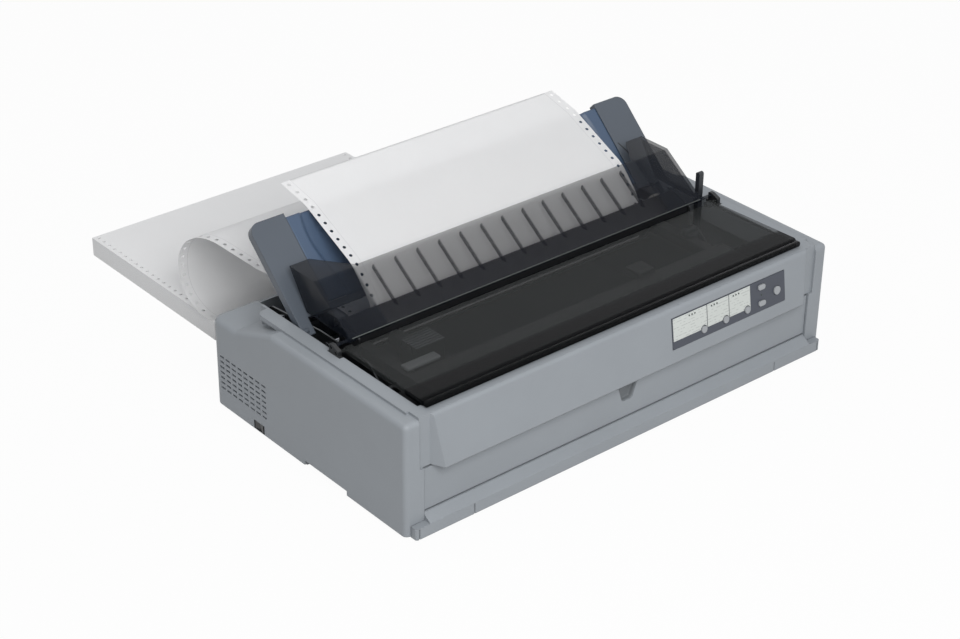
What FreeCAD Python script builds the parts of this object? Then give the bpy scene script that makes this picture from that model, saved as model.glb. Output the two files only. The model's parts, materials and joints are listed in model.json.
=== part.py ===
import FreeCAD
import Part
import math
import operator
import os
import Sketcher

# Wide-carriage dot matrix printer with hinged covers, its paper path and printing mechanism.
# X runs to the printer's right, Y to its rear and Z up. The origin lies on the table,
# under the middle of the case. Lengths are millimetres and angles are degrees.

doc = FreeCAD.newDocument("DotMatrixPrinter")
sheet = doc.addObject("Spreadsheet::Sheet", "Sizes")

SIZES = {
    # Case
    "shoulder_width": 32.5,
    "front_room": 156.0,
    "rear_room": 55.0,
    "case_wall": 3.0,
    "case_front_round": 6.0,
    "case_rear_round": 12.0,
    "case_top_round": 6.0,
    "foot_height": 2.5,
    "foot_radius": 9.0,
    "foot_inset": 33.0,
    "skirt_edge_height": 4.0,
    "seam_height": 16.5,
    "seam_gap": 0.3,
    "lip_height": 24.8,
    "lip_gap": 1.0,
    "shoulder_height": 140.5,
    "shoulder_end": 65.0,
    "rear_start": 135.0,
    "rear_height": 114.5,
    "paper_sill_height": 110.0,
    "paper_sill_side": 28.0,
    "strip_setback": 9.5,
    "strip_width": 25.0,
    "base_wrap": 15.0,
    "toe_side": 7.0,
    "toe_round": 3.0,
    "recess_setback": 12.0,
    "recess_side": 19.5,
    "rim_height": 3.0,
    "rim_width": 17.0,
    "rim_rear": 112.0,
    "rim_round": 10.0,
    "opening_setback": 30.0,
    "opening_rear": 122.0,
    "opening_skirt_drop": 30.0,
    "nose_bottom": 81.0,
    "nose_side": 34.5,
    "nose_drop": 3.0,
    "nose_bevel": 12.0,
    "nose_lean": 8.5,
    "nose_round": 5.0,
    "handhold_front": -69.0,
    "handhold_rear": 7.0,
    "handhold_height": 9.7,
    "vent_rear": 166.0,
    "vent_bottom": 27.0,
    "vent_length": 8.0,
    "vent_pitch": 11.5,
    "vent_row_pitch": 6.8,
    "vent_slot": 2.4,
    "lip_groove_side": 61.5,
    "toe_groove_side": 5.0,
    "lip_groove_width": 1.4,
    "lip_groove_depth": 1.2,
    "boss_radius": 6.0,
    "screw_head_radius": 4.0,
    "screw_head_height": 2.4,
    "screw_radius": 1.8,
    "screw_length": 9.0,
    # Front door
    "door_wall": 2.6,
    "door_gap": 0.5,
    "door_top_gap": 2.5,
    "door_flange": 5.0,
    "door_pin_radius": 1.6,
    "door_pin_length": 4.0,
    "thumb_top_half": 18.0,
    "thumb_low_half": 7.5,
    "thumb_height": 30.5,
    "thumb_round": 4.0,
    # Running fits and clearances
    "run_gap": 0.05,
    "clear_gap": 0.5,
    "cut_over": 2.0,
    # Printer cover
    "cover_wall": 2.5,
    "cover_hinge_y": -18.0,
    "cover_hinge_z": 146.5,
    "cover_rear_y": -21.0,
    "cover_rear_z": 148.5,
    "cover_front_z": 151.0,
    "cover_front_y": -155.2,
    "cover_lip_z": 144.2,
    "cover_round": 6.0,
    "cover_rear_side": 6.0,
    "cover_front_side": 3.0,
    "cover_corner": 8.0,
    "hinge_pin_radius": 2.0,
    "hinge_boss_radius": 3.4,
    "hinge_boss_width": 8.0,
    "hinge_ear_width": 5.0,
    "hinge_ear_wall": 1.6,
    # Rear cover over the paper path
    "hood_side": 18.0,
    "hood_wall": 2.5,
    "hood_foot_y": -12.0,
    "hood_foot_z": 153.0,
    "hood_top_y": 50.0,
    "hood_top_z": 196.5,
    "hood_rear_y": 95.0,
    "hood_heel_y": 65.0,
    "hood_heel_z": 152.0,
    "hood_hinge_y": -9.5,
    "hood_hinge_z": 150.5,
    "hood_tab_gap": 2.8,
    "hood_tab_taper": 34.0,
    "hood_rib_pitch": 31.0,
    "hood_rib_width": 1.6,
    "hood_rib_depth": 7.0,
    # Sheet guide
    "guide_pivot_y": 52.0,
    "guide_pivot_z": 138.0,
    "guide_lean": 43.3,
    "guide_length": 133.0,
    "guide_side": 2.0,
    "guide_arm_width": 48.0,
    "guide_leg_width": 15.0,
    "guide_leg_top": 14.0,
    "guide_thickness": 10.0,
    "guide_corner": 13.0,
    "guide_wall": 2.5,
    "guide_bar": 22.0,
    "guide_panel_top": 128.0,
    "guide_panel_drop": 4.0,
    "guide_pin_radius": 3.0,
    "edge_guide_x": 150.0,
    "edge_guide_width": 14.0,
    "edge_guide_length": 70.0,
    "edge_guide_height": 3.4,
    # Control panel on the nose
    "panel_side": 41.0,
    "panel_width": 182.0,
    "panel_bottom": 13.2,
    "panel_height": 38.5,
    "panel_thickness": 3.0,
    "panel_corner": 2.0,
    "panel_proud": 0.4,
    "button_radius": 4.2,
    "button_first": 49.0,
    "button_pitch": 35.0,
    "button_row": 9.4,
    "button_proud": 1.6,
    "button_stem": 6.0,
    "oval_place": 143.0,
    "oval_low_row": 9.8,
    "oval_pitch": 20.0,
    "oval_width": 11.0,
    "oval_height": 6.4,
    "select_place": 168.0,
    "select_row": 17.5,
    "select_radius": 5.0,
    "label_margin": 1.5,
    "label_reach": 5.4,
    "label_gap": 0.9,
    "label_height": 27.4,
    "label_row": 10.0,
    "label_thickness": 0.3,
    "light_radius": 1.0,
    "light_height": 0.3,
    "light_inset": 3.4,
    "light_pitch": 4.4,
    # Chassis
    "tray_bottom": 7.0,
    "tray_thickness": 1.5,
    "tray_side": 12.0,
    "tray_front": -150.0,
    "tray_rear": 170.0,
    "tray_fold": 10.0,
    "frame_gap": 32.0,
    "frame_thickness": 2.0,
    "drive_bay": 33.0,
    "frame_front": -145.0,
    "frame_rear": 160.0,
    "frame_top": 124.0,
    "frame_ear_top": 148.0,
    "frame_ear_depth": 36.0,
    "tension_depth": 10.0,
    "tension_rise": 10.0,
    # Platen and paper
    "platen_y": 46.0,
    "platen_z": 112.0,
    "platen_radius": 18.0,
    "platen_over": 12.8,
    "shaft_radius": 5.0,
    "paper_width": 406.4,
    "paper_thickness": 0.3,
    "paper_gap": 0.35,
    "hole_pitch": 12.7,
    "hole_inset": 6.35,
    "knob_radius": 17.0,
    "knob_width": 13.0,
    "knob_gap": 1.0,
    "knob_flute": 2.2,
    # Gears
    "gear_module": 1.5,
    "gear_width": 7.0,
    "gear_backlash": 0.5,
    "gear_offset": 3.0,
    "idler_angle": -55.4,
    # Tractors
    "tractor_run": 79.0,
    "tractor_drop": 10.0,
    "tractor_take_up": 1.0,
    "tractor_width": 24.0,
    "sprocket_width": 9.0,
    "sprocket_pin_radius": 1.7,
    "sprocket_pin_height": 2.0,
    "square_shaft": 9.0,
    "rail_radius": 4.0,
    "rail_run": 23.0,
    "rail_drop": 24.0,
    "gate_thickness": 2.2,
    "gate_length": 44.0,
    "gate_barrel_radius": 1.6,
    "gate_ear": 4.5,
    # Carriage and print head
    "carriage_park": 36.0,
    "carriage_run": 70.0,
    "carriage_drop": 34.0,
    "carriage_shaft_radius": 6.0,
    "carriage_width": 62.0,
    "head_width": 40.0,
    "head_nose": 9.0,
    "head_top": 131.0,
    "rail_front_y": -66.0,
    "belt_y": -50.0,
    "belt_width": 6.0,
    "belt_thickness": 1.4,
    "pulley_radius": 9.0,
    "pulley_inset": 19.0,
    "carriage_motor_radius": 18.0,
    "carriage_motor_length": 34.0,
    "feed_motor_radius": 20.0,
    "feed_motor_length": 30.0,
    # Ribbon cartridge
    "ribbon_front": -138.0,
    "ribbon_rear": -74.0,
    "ribbon_bottom": 108.0,
    "ribbon_top": 127.0,
    "ribbon_gap": 10.0,
    "ribbon_arm_width": 14.0,
    "ribbon_arm_gap": 3.0,
    "ribbon_height": 13.0,
    "ribbon_knob_radius": 11.0,
    "ribbon_knob_height": 7.0,
    "ribbon_knob_y": -26.0,
    # Release lever
    "lever_gap": 8.0,
    "lever_width": 7.5,
    "lever_depth": 6.0,
    "lever_y": 2.5,
    "lever_pivot_z": 104.0,
    "lever_top": 180.0,
    # Electronics
    "board_thickness": 1.6,
    "board_height": 14.0,
    "board_gap": 33.0,
    "board_width": 275.0,
    "chip_first": 20.0,
    "chip_pitch": 60.0,
    "chip_width": 30.0,
    "board_front": -140.0,
    "board_rear": 30.0,
    "supply_gap": 8.0,
    "supply_width": 150.0,
    "supply_front": -40.0,
    "supply_rear": 115.0,
    "supply_height": 38.0,
    "inlet_side": 83.5,
    "inlet_width": 28.0,
    "inlet_height": 22.0,
    "inlet_depth": 18.0,
    "port_side": 140.5,
    "port_width": 66.0,
    "port_height": 15.0,
    "port_depth": 16.0,
    "port_z": 45.0,
    "switch_front": 83.0,
    "switch_rear": 103.0,
    "switch_bottom": 4.6,
    "switch_top": 15.4,
    "rocker_room": 1.5,
    "rocker_depth": 6.0,
    "rocker_barrel": 2.4,
    # Fan-fold paper supply
    "stack_height": 25.0,
    "stack_page": 279.4,
    "stack_front": 297.0,
    "stack_shift": -34.0,
    "loop_high": 132.0,
    "loop_rear": 362.0,
    "loop_round": 50.0,
    "feed_bend": 12.0,
    "page_bend": 50.0,
    "web_rear_z": 137.0,
    "web_rear_y": 186.0,
    "page_bend_z": 150.0,
    "page_lip_y": 64.0,
    "page_lip_z": 190.0,
    "page_top_y": 184.0,
    "page_top_z": 246.0,
}

SPROCKET_PINS = 10
PINION_TEETH = 12
IDLER_TEETH = 36
PLATEN_TEETH = 32
TRACTOR_TEETH = 36
VENT_ROWS = 7
VENT_COLUMNS = 8
BUTTON_COUNT = 3
KNOB_FLUTES = 14
HOOD_RIBS = 13
HEAD_FINS = 8
BOARD_CHIPS = 4
LABEL_LIGHTS = 3

# How far the square shaft's corners are rounded, as a share of its side
SQUARE_ROUND_SHARE = 0.62

# Depth of a gear's root in modules, and half of a tooth's root and tip in quarter pitches
TOOTH_ROOT_SHARE = 1.25
ROOT_WIDTH_SHARE = 1.5
TIP_WIDTH_SHARE = 0.5

# Half width of the print head's nose at its root, and the pitch and gap of its fins in walls
HEAD_NOSE_SHARE = 0.6
FIN_PITCH_SHARE = 1.5
FIN_GAP_SHARE = 0.5

# How far the release lever's tip is rounded, as a share of half its depth
LEVER_ROUND_SHARE = 0.9

# A board pillar's radius in screw radii
PILLAR_SHARE = 1.5

# Where the inlet's prongs stand, as shares of its width and height
PRONG_SHARES = (-0.2, 0.0, 0.2)
PRONG_LOW_SHARE = 0.45
PRONG_HIGH_SHARE = 0.55

# Bends round the platen: the middle of each and half of its sweep, as shares of a half turn
PAPER_WRAP_SHARES = ((-1 / 3, 2 / 9), (-7 / 9, 2 / 9))
GUIDE_WRAP_SHARES = ((-1 / 3, 2 / 9), (-25 / 36, 5 / 36))

OPERATIONS = {"+": operator.add, "-": operator.sub, "*": operator.mul, "/": operator.truediv}


class Size:
    """A measure that keeps its value and the sheet formula that gives it."""

    def __init__(self, value, text):
        self.value = value
        self.text = text

    def __add__(self, other):
        return joined(self, "+", other)

    def __sub__(self, other):
        return joined(self, "-", other)

    def __mul__(self, other):
        return joined(self, "*", other)

    def __rmul__(self, other):
        return joined(other, "*", self)

    def __truediv__(self, other):
        return joined(self, "/", other)

    def __neg__(self):
        return Size(-self.value, "(-1 * %s)" % self.text)


def number(measure):
    return measure.value if isinstance(measure, Size) else float(measure)


def formula(measure):
    return measure.text if isinstance(measure, Size) else repr(measure)


def joined(left, sign, right):
    value = OPERATIONS[sign](number(left), number(right))
    return Size(value, "(%s %s %s)" % (formula(left), sign, formula(right)))


def cosine(angle):
    return Size(math.cos(math.radians(angle.value)), "cos(%s)" % angle.text)


def sine(angle):
    return Size(math.sin(math.radians(angle.value)), "sin(%s)" % angle.text)


def tangent(angle):
    return Size(math.tan(math.radians(angle.value)), "tan(%s)" % angle.text)


class SizeTable:
    """Writes the driving sizes into the sheet and hands them out by name."""

    def __init__(self, values):
        for row, (name, value) in enumerate(values.items(), start=1):
            cell = "B%d" % row
            sheet.set("A%d" % row, name)
            sheet.set(cell, str(value))
            sheet.setAlias(cell, name)
            setattr(self, name, Size(float(value), "Sizes." + name))


S = SizeTable(SIZES)
doc.recompute()

ROTATIONS = {
    "YZ": FreeCAD.Rotation(FreeCAD.Vector(1, 1, 1), 120),
    "XZ": FreeCAD.Rotation(FreeCAD.Vector(1, 0, 0), 90),
    "XY": FreeCAD.Rotation(),
}
ROD_ROTATIONS = {
    "X": FreeCAD.Rotation(FreeCAD.Vector(0, 1, 0), 90),
    "Y": FreeCAD.Rotation(FreeCAD.Vector(1, 0, 0), -90),
    "Z": FreeCAD.Rotation(),
}
PARTS = []


# General shapes, each one a document object whose sizes follow the sheet

def bind(thing, prop, measure):
    if isinstance(measure, Size):
        thing.setExpression(prop, measure.text)


def place(thing, rotation, x, y, z):
    thing.Placement = FreeCAD.Placement(FreeCAD.Vector(number(x), number(y), number(z)), rotation)
    bind(thing, "Placement.Base.x", x)
    bind(thing, "Placement.Base.y", y)
    bind(thing, "Placement.Base.z", z)


def box(name, xs, ys, zs):
    """A block between (low, high) pairs along each axis."""
    block = doc.addObject("Part::Box", name)
    place(block, FreeCAD.Rotation(), xs[0], ys[0], zs[0])
    bind(block, "Length", xs[1] - xs[0])
    bind(block, "Width", ys[1] - ys[0])
    bind(block, "Height", zs[1] - zs[0])
    return block


def rod(name, axis, centre, span, radius):
    """A round bar along an axis; centre gives the other two coordinates in X, Y, Z order."""
    bar = doc.addObject("Part::Cylinder", name)
    start = {"X": (span[0], centre[0], centre[1]),
             "Y": (centre[0], span[0], centre[1]),
             "Z": (centre[0], centre[1], span[0])}[axis]
    place(bar, ROD_ROTATIONS[axis], *start)
    bind(bar, "Radius", radius)
    bind(bar, "Height", span[1] - span[0])
    return bar


def corner_arc(before, corner, after, radius):
    """The arc that rounds a corner, and whether it runs from the first side to the second."""
    first = (before - corner).normalize()
    second = (after - corner).normalize()
    half_angle = first.getAngle(second) / 2
    reach = radius / math.tan(half_angle)
    start = corner + first * reach
    end = corner + second * reach
    centre = corner + (first + second).normalize() * (radius / math.sin(half_angle))
    turn = (corner - before).cross(after - corner).z
    circle = Part.Circle(centre, FreeCAD.Vector(0, 0, 1), radius)
    first_angle = math.atan2(start.y - centre.y, start.x - centre.x)
    last_angle = math.atan2(end.y - centre.y, end.x - centre.x)
    if turn > 0:
        return start, end, Part.ArcOfCircle(circle, first_angle, last_angle), True
    return start, end, Part.ArcOfCircle(circle, last_angle, first_angle), False


def pin_point(sketch, geometry, end, point):
    for kind, measure in (("DistanceX", point[0]), ("DistanceY", point[1])):
        index = sketch.addConstraint(Sketcher.Constraint(kind, -1, 1, geometry, end, number(measure)))
        bind(sketch, "Constraints[%d]" % index, measure)


def outline(name, plane, points, level):
    """A closed sketch; a third value on a point is the radius that rounds it."""
    sketch = doc.addObject("Sketcher::SketchObject", name + "_outline")
    origin = {"YZ": (level, 0, 0), "XZ": (0, level, 0), "XY": (0, 0, level)}[plane]
    place(sketch, ROTATIONS[plane], *origin)
    spots = [FreeCAD.Vector(number(point[0]), number(point[1]), 0) for point in points]
    count = len(points)
    ends = []
    for index, point in enumerate(points):
        if len(point) > 2:
            following = spots[(index + 1) % count]
            ends.append(corner_arc(spots[index - 1], spots[index], following, number(point[2])))
        else:
            ends.append((spots[index], spots[index], None, True))
    for index in range(count):
        sketch.addGeometry(Part.LineSegment(ends[index][1], ends[(index + 1) % count][0]))
    for index, point in enumerate(points):
        before = (index - 1) % count
        arc = ends[index][2]
        if arc is None:
            sketch.addConstraint(Sketcher.Constraint("Coincident", before, 2, index, 1))
            pin_point(sketch, index, 1, point)
            continue
        arc_index = sketch.addGeometry(arc)
        first_end, last_end = (1, 2) if ends[index][3] else (2, 1)
        sketch.addConstraint(Sketcher.Constraint("Tangent", before, 2, arc_index, first_end))
        sketch.addConstraint(Sketcher.Constraint("Tangent", arc_index, last_end, index, 1))
        radius_index = sketch.addConstraint(Sketcher.Constraint("Radius", arc_index, number(point[2])))
        bind(sketch, "Constraints[%d]" % radius_index, point[2])
        corner = sketch.addGeometry(Part.Point(spots[index]), True)
        pin_point(sketch, corner, 1, point)
        sketch.addConstraint(Sketcher.Constraint("PointOnObject", corner, 1, before))
        sketch.addConstraint(Sketcher.Constraint("PointOnObject", corner, 1, index))
    return sketch


def extrude(name, plane, points, low, high):
    """A profile pushed square to its plane from one level to the other."""
    level = high if plane == "XZ" else low
    solid = doc.addObject("Part::Extrusion", name)
    solid.Base = outline(name, plane, points, level)
    solid.DirMode = "Normal"
    solid.Solid = True
    bind(solid, "LengthFwd", high - low)
    return solid


def turn(name, centre, points):
    """A profile of (place along X, radius) points turned round an X axis through centre."""
    profile = outline(name, "XZ", points, centre[0])
    place(profile, ROTATIONS["XZ"], 0, centre[0], centre[1])
    solid = doc.addObject("Part::Revolution", name)
    solid.Source = profile
    solid.Axis = FreeCAD.Vector(1, 0, 0)
    solid.Base = FreeCAD.Vector(0, centre[0].value, centre[1].value)
    bind(solid, "Base.y", centre[0])
    bind(solid, "Base.z", centre[1])
    solid.Solid = True
    return solid


def fuse(name, *pieces):
    joined_piece = doc.addObject("Part::MultiFuse", name)
    joined_piece.Shapes = list(pieces)
    return joined_piece


def cut(name, base, *tools):
    result = doc.addObject("Part::Cut", name)
    result.Base = base
    result.Tool = tools[0] if len(tools) == 1 else fuse(name + "_tools", *tools)
    return result


def common(name, first, second):
    result = doc.addObject("Part::Common", name)
    result.Base = first
    result.Tool = second
    return result


def group(name, pieces):
    bundle = doc.addObject("Part::Compound", name)
    bundle.Links = list(pieces)
    return bundle


def mirrored(name, source):
    twin = doc.addObject("Part::Mirroring", name)
    twin.Source = source
    twin.Normal = FreeCAD.Vector(1, 0, 0)
    return twin


def both_sides(name, source):
    return [source, mirrored(name + "_mirrored", source)]


def round_edges(name, base, radius, wanted):
    """Rounds the edges whose midpoint and direction pass the wanted test."""
    doc.recompute()
    chosen = []
    for index, edge in enumerate(base.Shape.Edges, start=1):
        middle = edge.valueAt((edge.FirstParameter + edge.LastParameter) / 2)
        if wanted(middle, edge):
            chosen.append((index, radius.value, radius.value))
    rounded = doc.addObject("Part::Fillet", name)
    rounded.Base = base
    rounded.Edges = chosen
    return rounded


def shaped(name, shape):
    """A piece whose form is worked out in code from the sheet's sizes."""
    piece = doc.addObject("Part::Feature", name)
    piece.Shape = shape
    return piece


def keep(label, piece):
    """Marks a finished piece: its label names its file."""
    piece.Label = label
    PARTS.append(piece)
    return piece


def is_vertical(edge):
    return abs(edge.tangentAt(edge.FirstParameter).z) > math.cos(math.radians(1))


def near(first, second):
    return abs(first - second) < SAME


# Places that several pieces share, built outward from the paper and the platen
SAME = 0.01
zero = S.foot_height * 0
over = S.cut_over
paper_half = S.paper_width / 2
platen_half = paper_half + S.platen_over
frame_inner = platen_half + S.frame_gap
frame_outer = frame_inner + S.frame_thickness
opening_half = frame_outer + S.drive_bay
half = opening_half + S.shoulder_width
tractor_y = S.platen_y + S.tractor_run
tractor_z = S.platen_z - S.tractor_drop
rail_y = tractor_y + S.rail_run
rail_z = tractor_z - S.rail_drop
carriage_shaft_y = S.platen_y - S.carriage_run
carriage_shaft_z = S.platen_z - S.carriage_drop
front = carriage_shaft_y - S.front_room
rear = tractor_y + S.rear_room
strip_front = front + S.strip_setback
recess_front = front + S.recess_setback
recess_half = half - S.recess_side
door_front = recess_front
door_half = half - S.strip_width
door_pin_y = door_front + S.door_wall
door_pin_z = S.lip_height + S.lip_gap + S.door_wall
opening_front = front + S.opening_setback
paper_sill_half = opening_half - S.paper_sill_side
rim_top = S.shoulder_height + S.rim_height
nose_half = half - S.nose_side
nose_rise = rim_top - S.nose_bottom
nose_crest = front + tangent(S.nose_lean) * nose_rise
hinge_reach = opening_half + S.hinge_ear_width - S.clear_gap
guide_reach = opening_half + S.case_wall - S.clear_gap
guide_half = opening_half - S.guide_side
cover_rear_half = opening_half - S.cover_rear_side
cover_front_half = opening_half - S.cover_front_side
hood_half = opening_half - S.hood_side
hood_tab_inner = paper_half + S.hood_tab_gap
hood_tab_rear = hood_tab_inner + S.hood_tab_taper
panel_left = nose_half - S.panel_side - S.panel_width
button_first_x = panel_left + S.button_first
oval_x = panel_left + S.oval_place
select_x = panel_left + S.select_place
label_left = panel_left + S.label_margin
tray_half = frame_outer + S.tray_side
page_face_y = S.platen_y - S.platen_radius - S.paper_gap - S.paper_thickness
carriage_home = -platen_half + S.carriage_park
pulley_x = frame_inner - S.pulley_inset
ribbon_half = frame_inner - S.ribbon_gap
ribbon_arm_inner = platen_half + S.ribbon_arm_gap
lever_x = opening_half - S.lever_gap
board_right = frame_inner - S.board_gap
board_left = board_right - S.board_width
supply_left = -frame_inner + S.supply_gap
supply_right = supply_left + S.supply_width
inlet_x = -half + S.inlet_side
port_x = half - S.port_side
toe_half = half - S.toe_side
toe_front = front + S.clear_gap
fit_slack = S.run_gap / 5


def both(low, high):
    """The two mirrored spans that a pair of twins fill."""
    return [(low, high), (-high, -low)]


# Case

def case_profile(inset, bottom):
    """The side view of the case, drawn in by a wall."""
    return [
        (strip_front + inset, bottom),
        (strip_front + inset, S.shoulder_height - inset),
        (S.shoulder_end, S.shoulder_height - inset),
        (S.rear_start, S.rear_height - inset),
        (rear - inset, S.rear_height - inset),
        (rear - inset, bottom),
    ]


def rounded_hull():
    body = extrude("case_block", "YZ", case_profile(zero, S.skirt_edge_height), -half, half)

    def corner(side):
        def wanted(middle, edge):
            return is_vertical(edge) and near(middle.y, side.value) and near(abs(middle.x), half.value)
        return wanted

    body = round_edges("case_front_rounded", body, S.case_front_round, corner(strip_front))
    body = round_edges("case_rear_rounded", body, S.case_rear_round, corner(rear))
    side_inset = S.case_rear_round.value

    def top_edge(middle, edge):
        level = edge.BoundBox.ZLength < SAME and middle.z > S.rear_height.value - SAME
        ramp = abs(middle.x) > half.value - SAME and middle.z > S.rear_height.value + SAME
        end = near(middle.y, rear.value) or near(middle.y, strip_front.value)
        border = abs(middle.x) > half.value - side_inset or end
        spans = edge.BoundBox.XLength > half.value and not end
        return (level or ramp) and border and not spans

    return round_edges("case_top_rounded", body, S.case_top_round, top_edge)


def nose_block(name, inset):
    """The slanted fascia above the front door, with bevelled ends."""
    slope = tangent(S.nose_lean)
    low = inset - S.nose_drop
    side = [
        (front + slope * low + inset / cosine(S.nose_lean), S.nose_bottom + low),
        (nose_crest - slope * inset + inset / cosine(S.nose_lean), rim_top - inset, S.nose_round),
        (opening_front - inset, rim_top - inset),
        (opening_front - inset, S.nose_bottom + inset),
        (recess_front, S.nose_bottom + inset),
    ]
    end = nose_half - inset
    plan = [
        (-end, opening_front),
        (-end, recess_front + inset),
        (-end + S.nose_bevel, front - over + inset),
        (end - S.nose_bevel, front - over + inset),
        (end, recess_front + inset),
        (end, opening_front),
    ]
    bar = extrude(name + "_side", "YZ", side, -end, end)
    ends = extrude(name + "_plan", "XY", plan, S.nose_bottom - S.nose_drop - over, rim_top + over)
    return common(name, bar, ends)


def on_nose(piece):
    """Lays a piece drawn flat (X, up the face, outward) on the slanted nose."""
    tilt = FreeCAD.Rotation(FreeCAD.Vector(1, 0, 0), 90 - S.nose_lean.value)
    place(piece, tilt, 0, front, S.nose_bottom)
    return piece


def side_vents():
    slots = []
    reach = (-half - over, -half + S.case_wall + over)
    for row in range(VENT_ROWS):
        low = S.vent_bottom + S.vent_row_pitch * row
        for column in range(VENT_COLUMNS):
            back = S.vent_rear - S.vent_pitch * column
            slots.append(box("vent_slot", reach, (back - S.vent_length, back), (low, low + S.vent_slot)))
    return slots


def pin_holes():
    """Bores for the pins of the covers, the sheet guide and the front door."""
    holes = []
    pins = (
        ("cover_hole", S.cover_hinge_y, S.cover_hinge_z, S.hinge_pin_radius, S.hinge_ear_width),
        ("hood_hole", S.hood_hinge_y, S.hood_hinge_z, S.hinge_pin_radius, S.hinge_ear_width),
        ("guide_hole", S.guide_pivot_y, S.guide_pivot_z, S.guide_pin_radius, S.case_wall),
    )
    for name, y, z, radius, depth in pins:
        for span in both(opening_half - over, opening_half + depth + over):
            holes.append(rod(name, "X", (y, z), span, radius + S.run_gap))
    for span in both(door_half - over, door_half + S.door_pin_length + S.clear_gap):
        holes.append(rod("door_hole", "X", (door_pin_y, door_pin_z), span, S.door_pin_radius + S.run_gap))
    return holes


def hinge_ears():
    """The knuckles on the rim that hold the pins of both covers."""
    reach = S.hinge_pin_radius + S.hinge_ear_wall
    return [
        extrude("hinge_ear", "YZ", [
            (S.cover_hinge_y - reach, S.shoulder_height),
            (S.cover_hinge_y - reach, S.cover_hinge_z + reach, reach / 2),
            (S.hood_hinge_y - reach / 2, S.hood_hinge_z + reach, reach / 2),
            (S.hood_hinge_y + reach, S.hood_hinge_z + reach, reach / 2),
            (S.hood_hinge_y + reach, S.shoulder_height),
        ], span[0], span[1])
        for span in both(opening_half, opening_half + S.hinge_ear_width)
    ]


def upper_case():
    wall = S.case_wall
    inner_front = recess_front + wall
    cavity_sides = case_profile(wall, S.skirt_edge_height - over)
    cavity_sides[0] = (inner_front, S.skirt_edge_height - over)
    cavity_sides[1] = (inner_front, S.shoulder_height - wall)
    cavity = extrude("case_cavity", "YZ", cavity_sides, -half + wall, half - wall)
    strip_pockets = [
        box("strip_pocket", span, (strip_front + wall, inner_front + over),
            (S.skirt_edge_height - over, S.shoulder_height - wall))
        for span in both(recess_half + wall, half - wall)
    ]
    recess = box("face_recess", (-recess_half, recess_half), (front - over, recess_front),
                 (S.nose_bottom, S.shoulder_height + over))
    doorway = box("doorway", (-door_half, door_half), (front - over, inner_front + over),
                  (zero, S.nose_bottom))
    toe_reach = toe_half + S.seam_gap
    base_wrap = box("base_wrap_space", (-toe_reach, toe_reach), (front - over, front + S.base_wrap),
                    (zero, S.seam_height))
    rim = extrude("rim_block", "XY", [
        (-opening_half - S.rim_width, opening_front - over),
        (opening_half + S.rim_width, opening_front - over),
        (opening_half + S.rim_width, S.rim_rear, S.rim_round),
        (-opening_half - S.rim_width, S.rim_rear, S.rim_round),
    ], S.shoulder_height - wall, rim_top)
    ledge = box("rim_front", (-recess_half, recess_half), (recess_front, opening_front),
                (S.shoulder_height - wall, rim_top))
    hollow = cut("case_hollow", fuse("case_rimmed", rounded_hull(), rim, ledge),
                 cavity, recess, doorway, base_wrap, *strip_pockets)
    skirt = cut("opening_skirt",
                box("skirt_block", (-opening_half - wall, opening_half + wall),
                    (opening_front - wall, S.opening_rear), (rim_top - S.opening_skirt_drop, rim_top)),
                box("skirt_core", (-opening_half, opening_half), (opening_front, S.opening_rear + over),
                    (rim_top - S.opening_skirt_drop - over, rim_top + over)))
    jambs = [
        box("door_jamb", span, (strip_front + wall / 2, door_pin_y + S.door_pin_radius + wall),
            (S.seam_height, door_pin_z + S.door_pin_radius + wall))
        for span in both(door_half, door_half + S.door_pin_length + wall)
    ]
    shell = fuse("case_shell", hollow, skirt, nose_block("nose_outer", zero), *(jambs + hinge_ears()))
    opening = box("cover_opening", (-opening_half, opening_half), (opening_front, S.opening_rear),
                  (rim_top - S.opening_skirt_drop, rim_top + over))
    sill = box("paper_sill", (-paper_sill_half, paper_sill_half), (S.opening_rear - over, rear + over),
               (S.paper_sill_height, rim_top))
    gear_reach = S.gear_module * (TRACTOR_TEETH + PINION_TEETH) / 2
    gear_relief = box("gear_relief", (frame_outer, frame_outer + S.gear_offset * 2 + S.gear_width),
                      (tractor_y - gear_reach, tractor_y + gear_reach), (S.paper_sill_height, rim_top))
    handholds = [
        box("handhold", span, (S.handhold_front, S.handhold_rear), (zero, S.handhold_height))
        for span in both(half - wall - over, half + over)
    ]
    panel_seat = on_nose(group("panel_seat", [
        box("panel_window", (panel_left, panel_left + S.panel_width),
            (S.panel_bottom, S.panel_bottom + S.panel_height), (-wall - over, over))]))
    knob_hole = rod("knob_hole", "X", (S.platen_y, S.platen_z), (opening_half - over, half + over),
                    S.shaft_radius + S.clear_gap)
    ports = [
        box("port_hole", (port_x - S.port_width / 2, port_x + S.port_width / 2),
            (rear - wall - over, rear + over), (S.port_z, S.port_z + S.port_height)),
        box("inlet_hole", (inlet_x - S.inlet_width / 2, inlet_x + S.inlet_width / 2),
            (rear - wall - over, rear + over), (S.port_z, S.port_z + S.inlet_height)),
        box("switch_hole", (-half - over, -half + wall + over), (S.switch_front, S.switch_rear),
            (S.switch_bottom, S.switch_top)),
    ]
    holes = handholds + ports + side_vents() + pin_holes()
    return keep("upper_case", cut("upper_case_body", shell, nose_block("nose_inner", wall), opening, sill,
                                  gear_relief, panel_seat, knob_hole, *holes))


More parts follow.
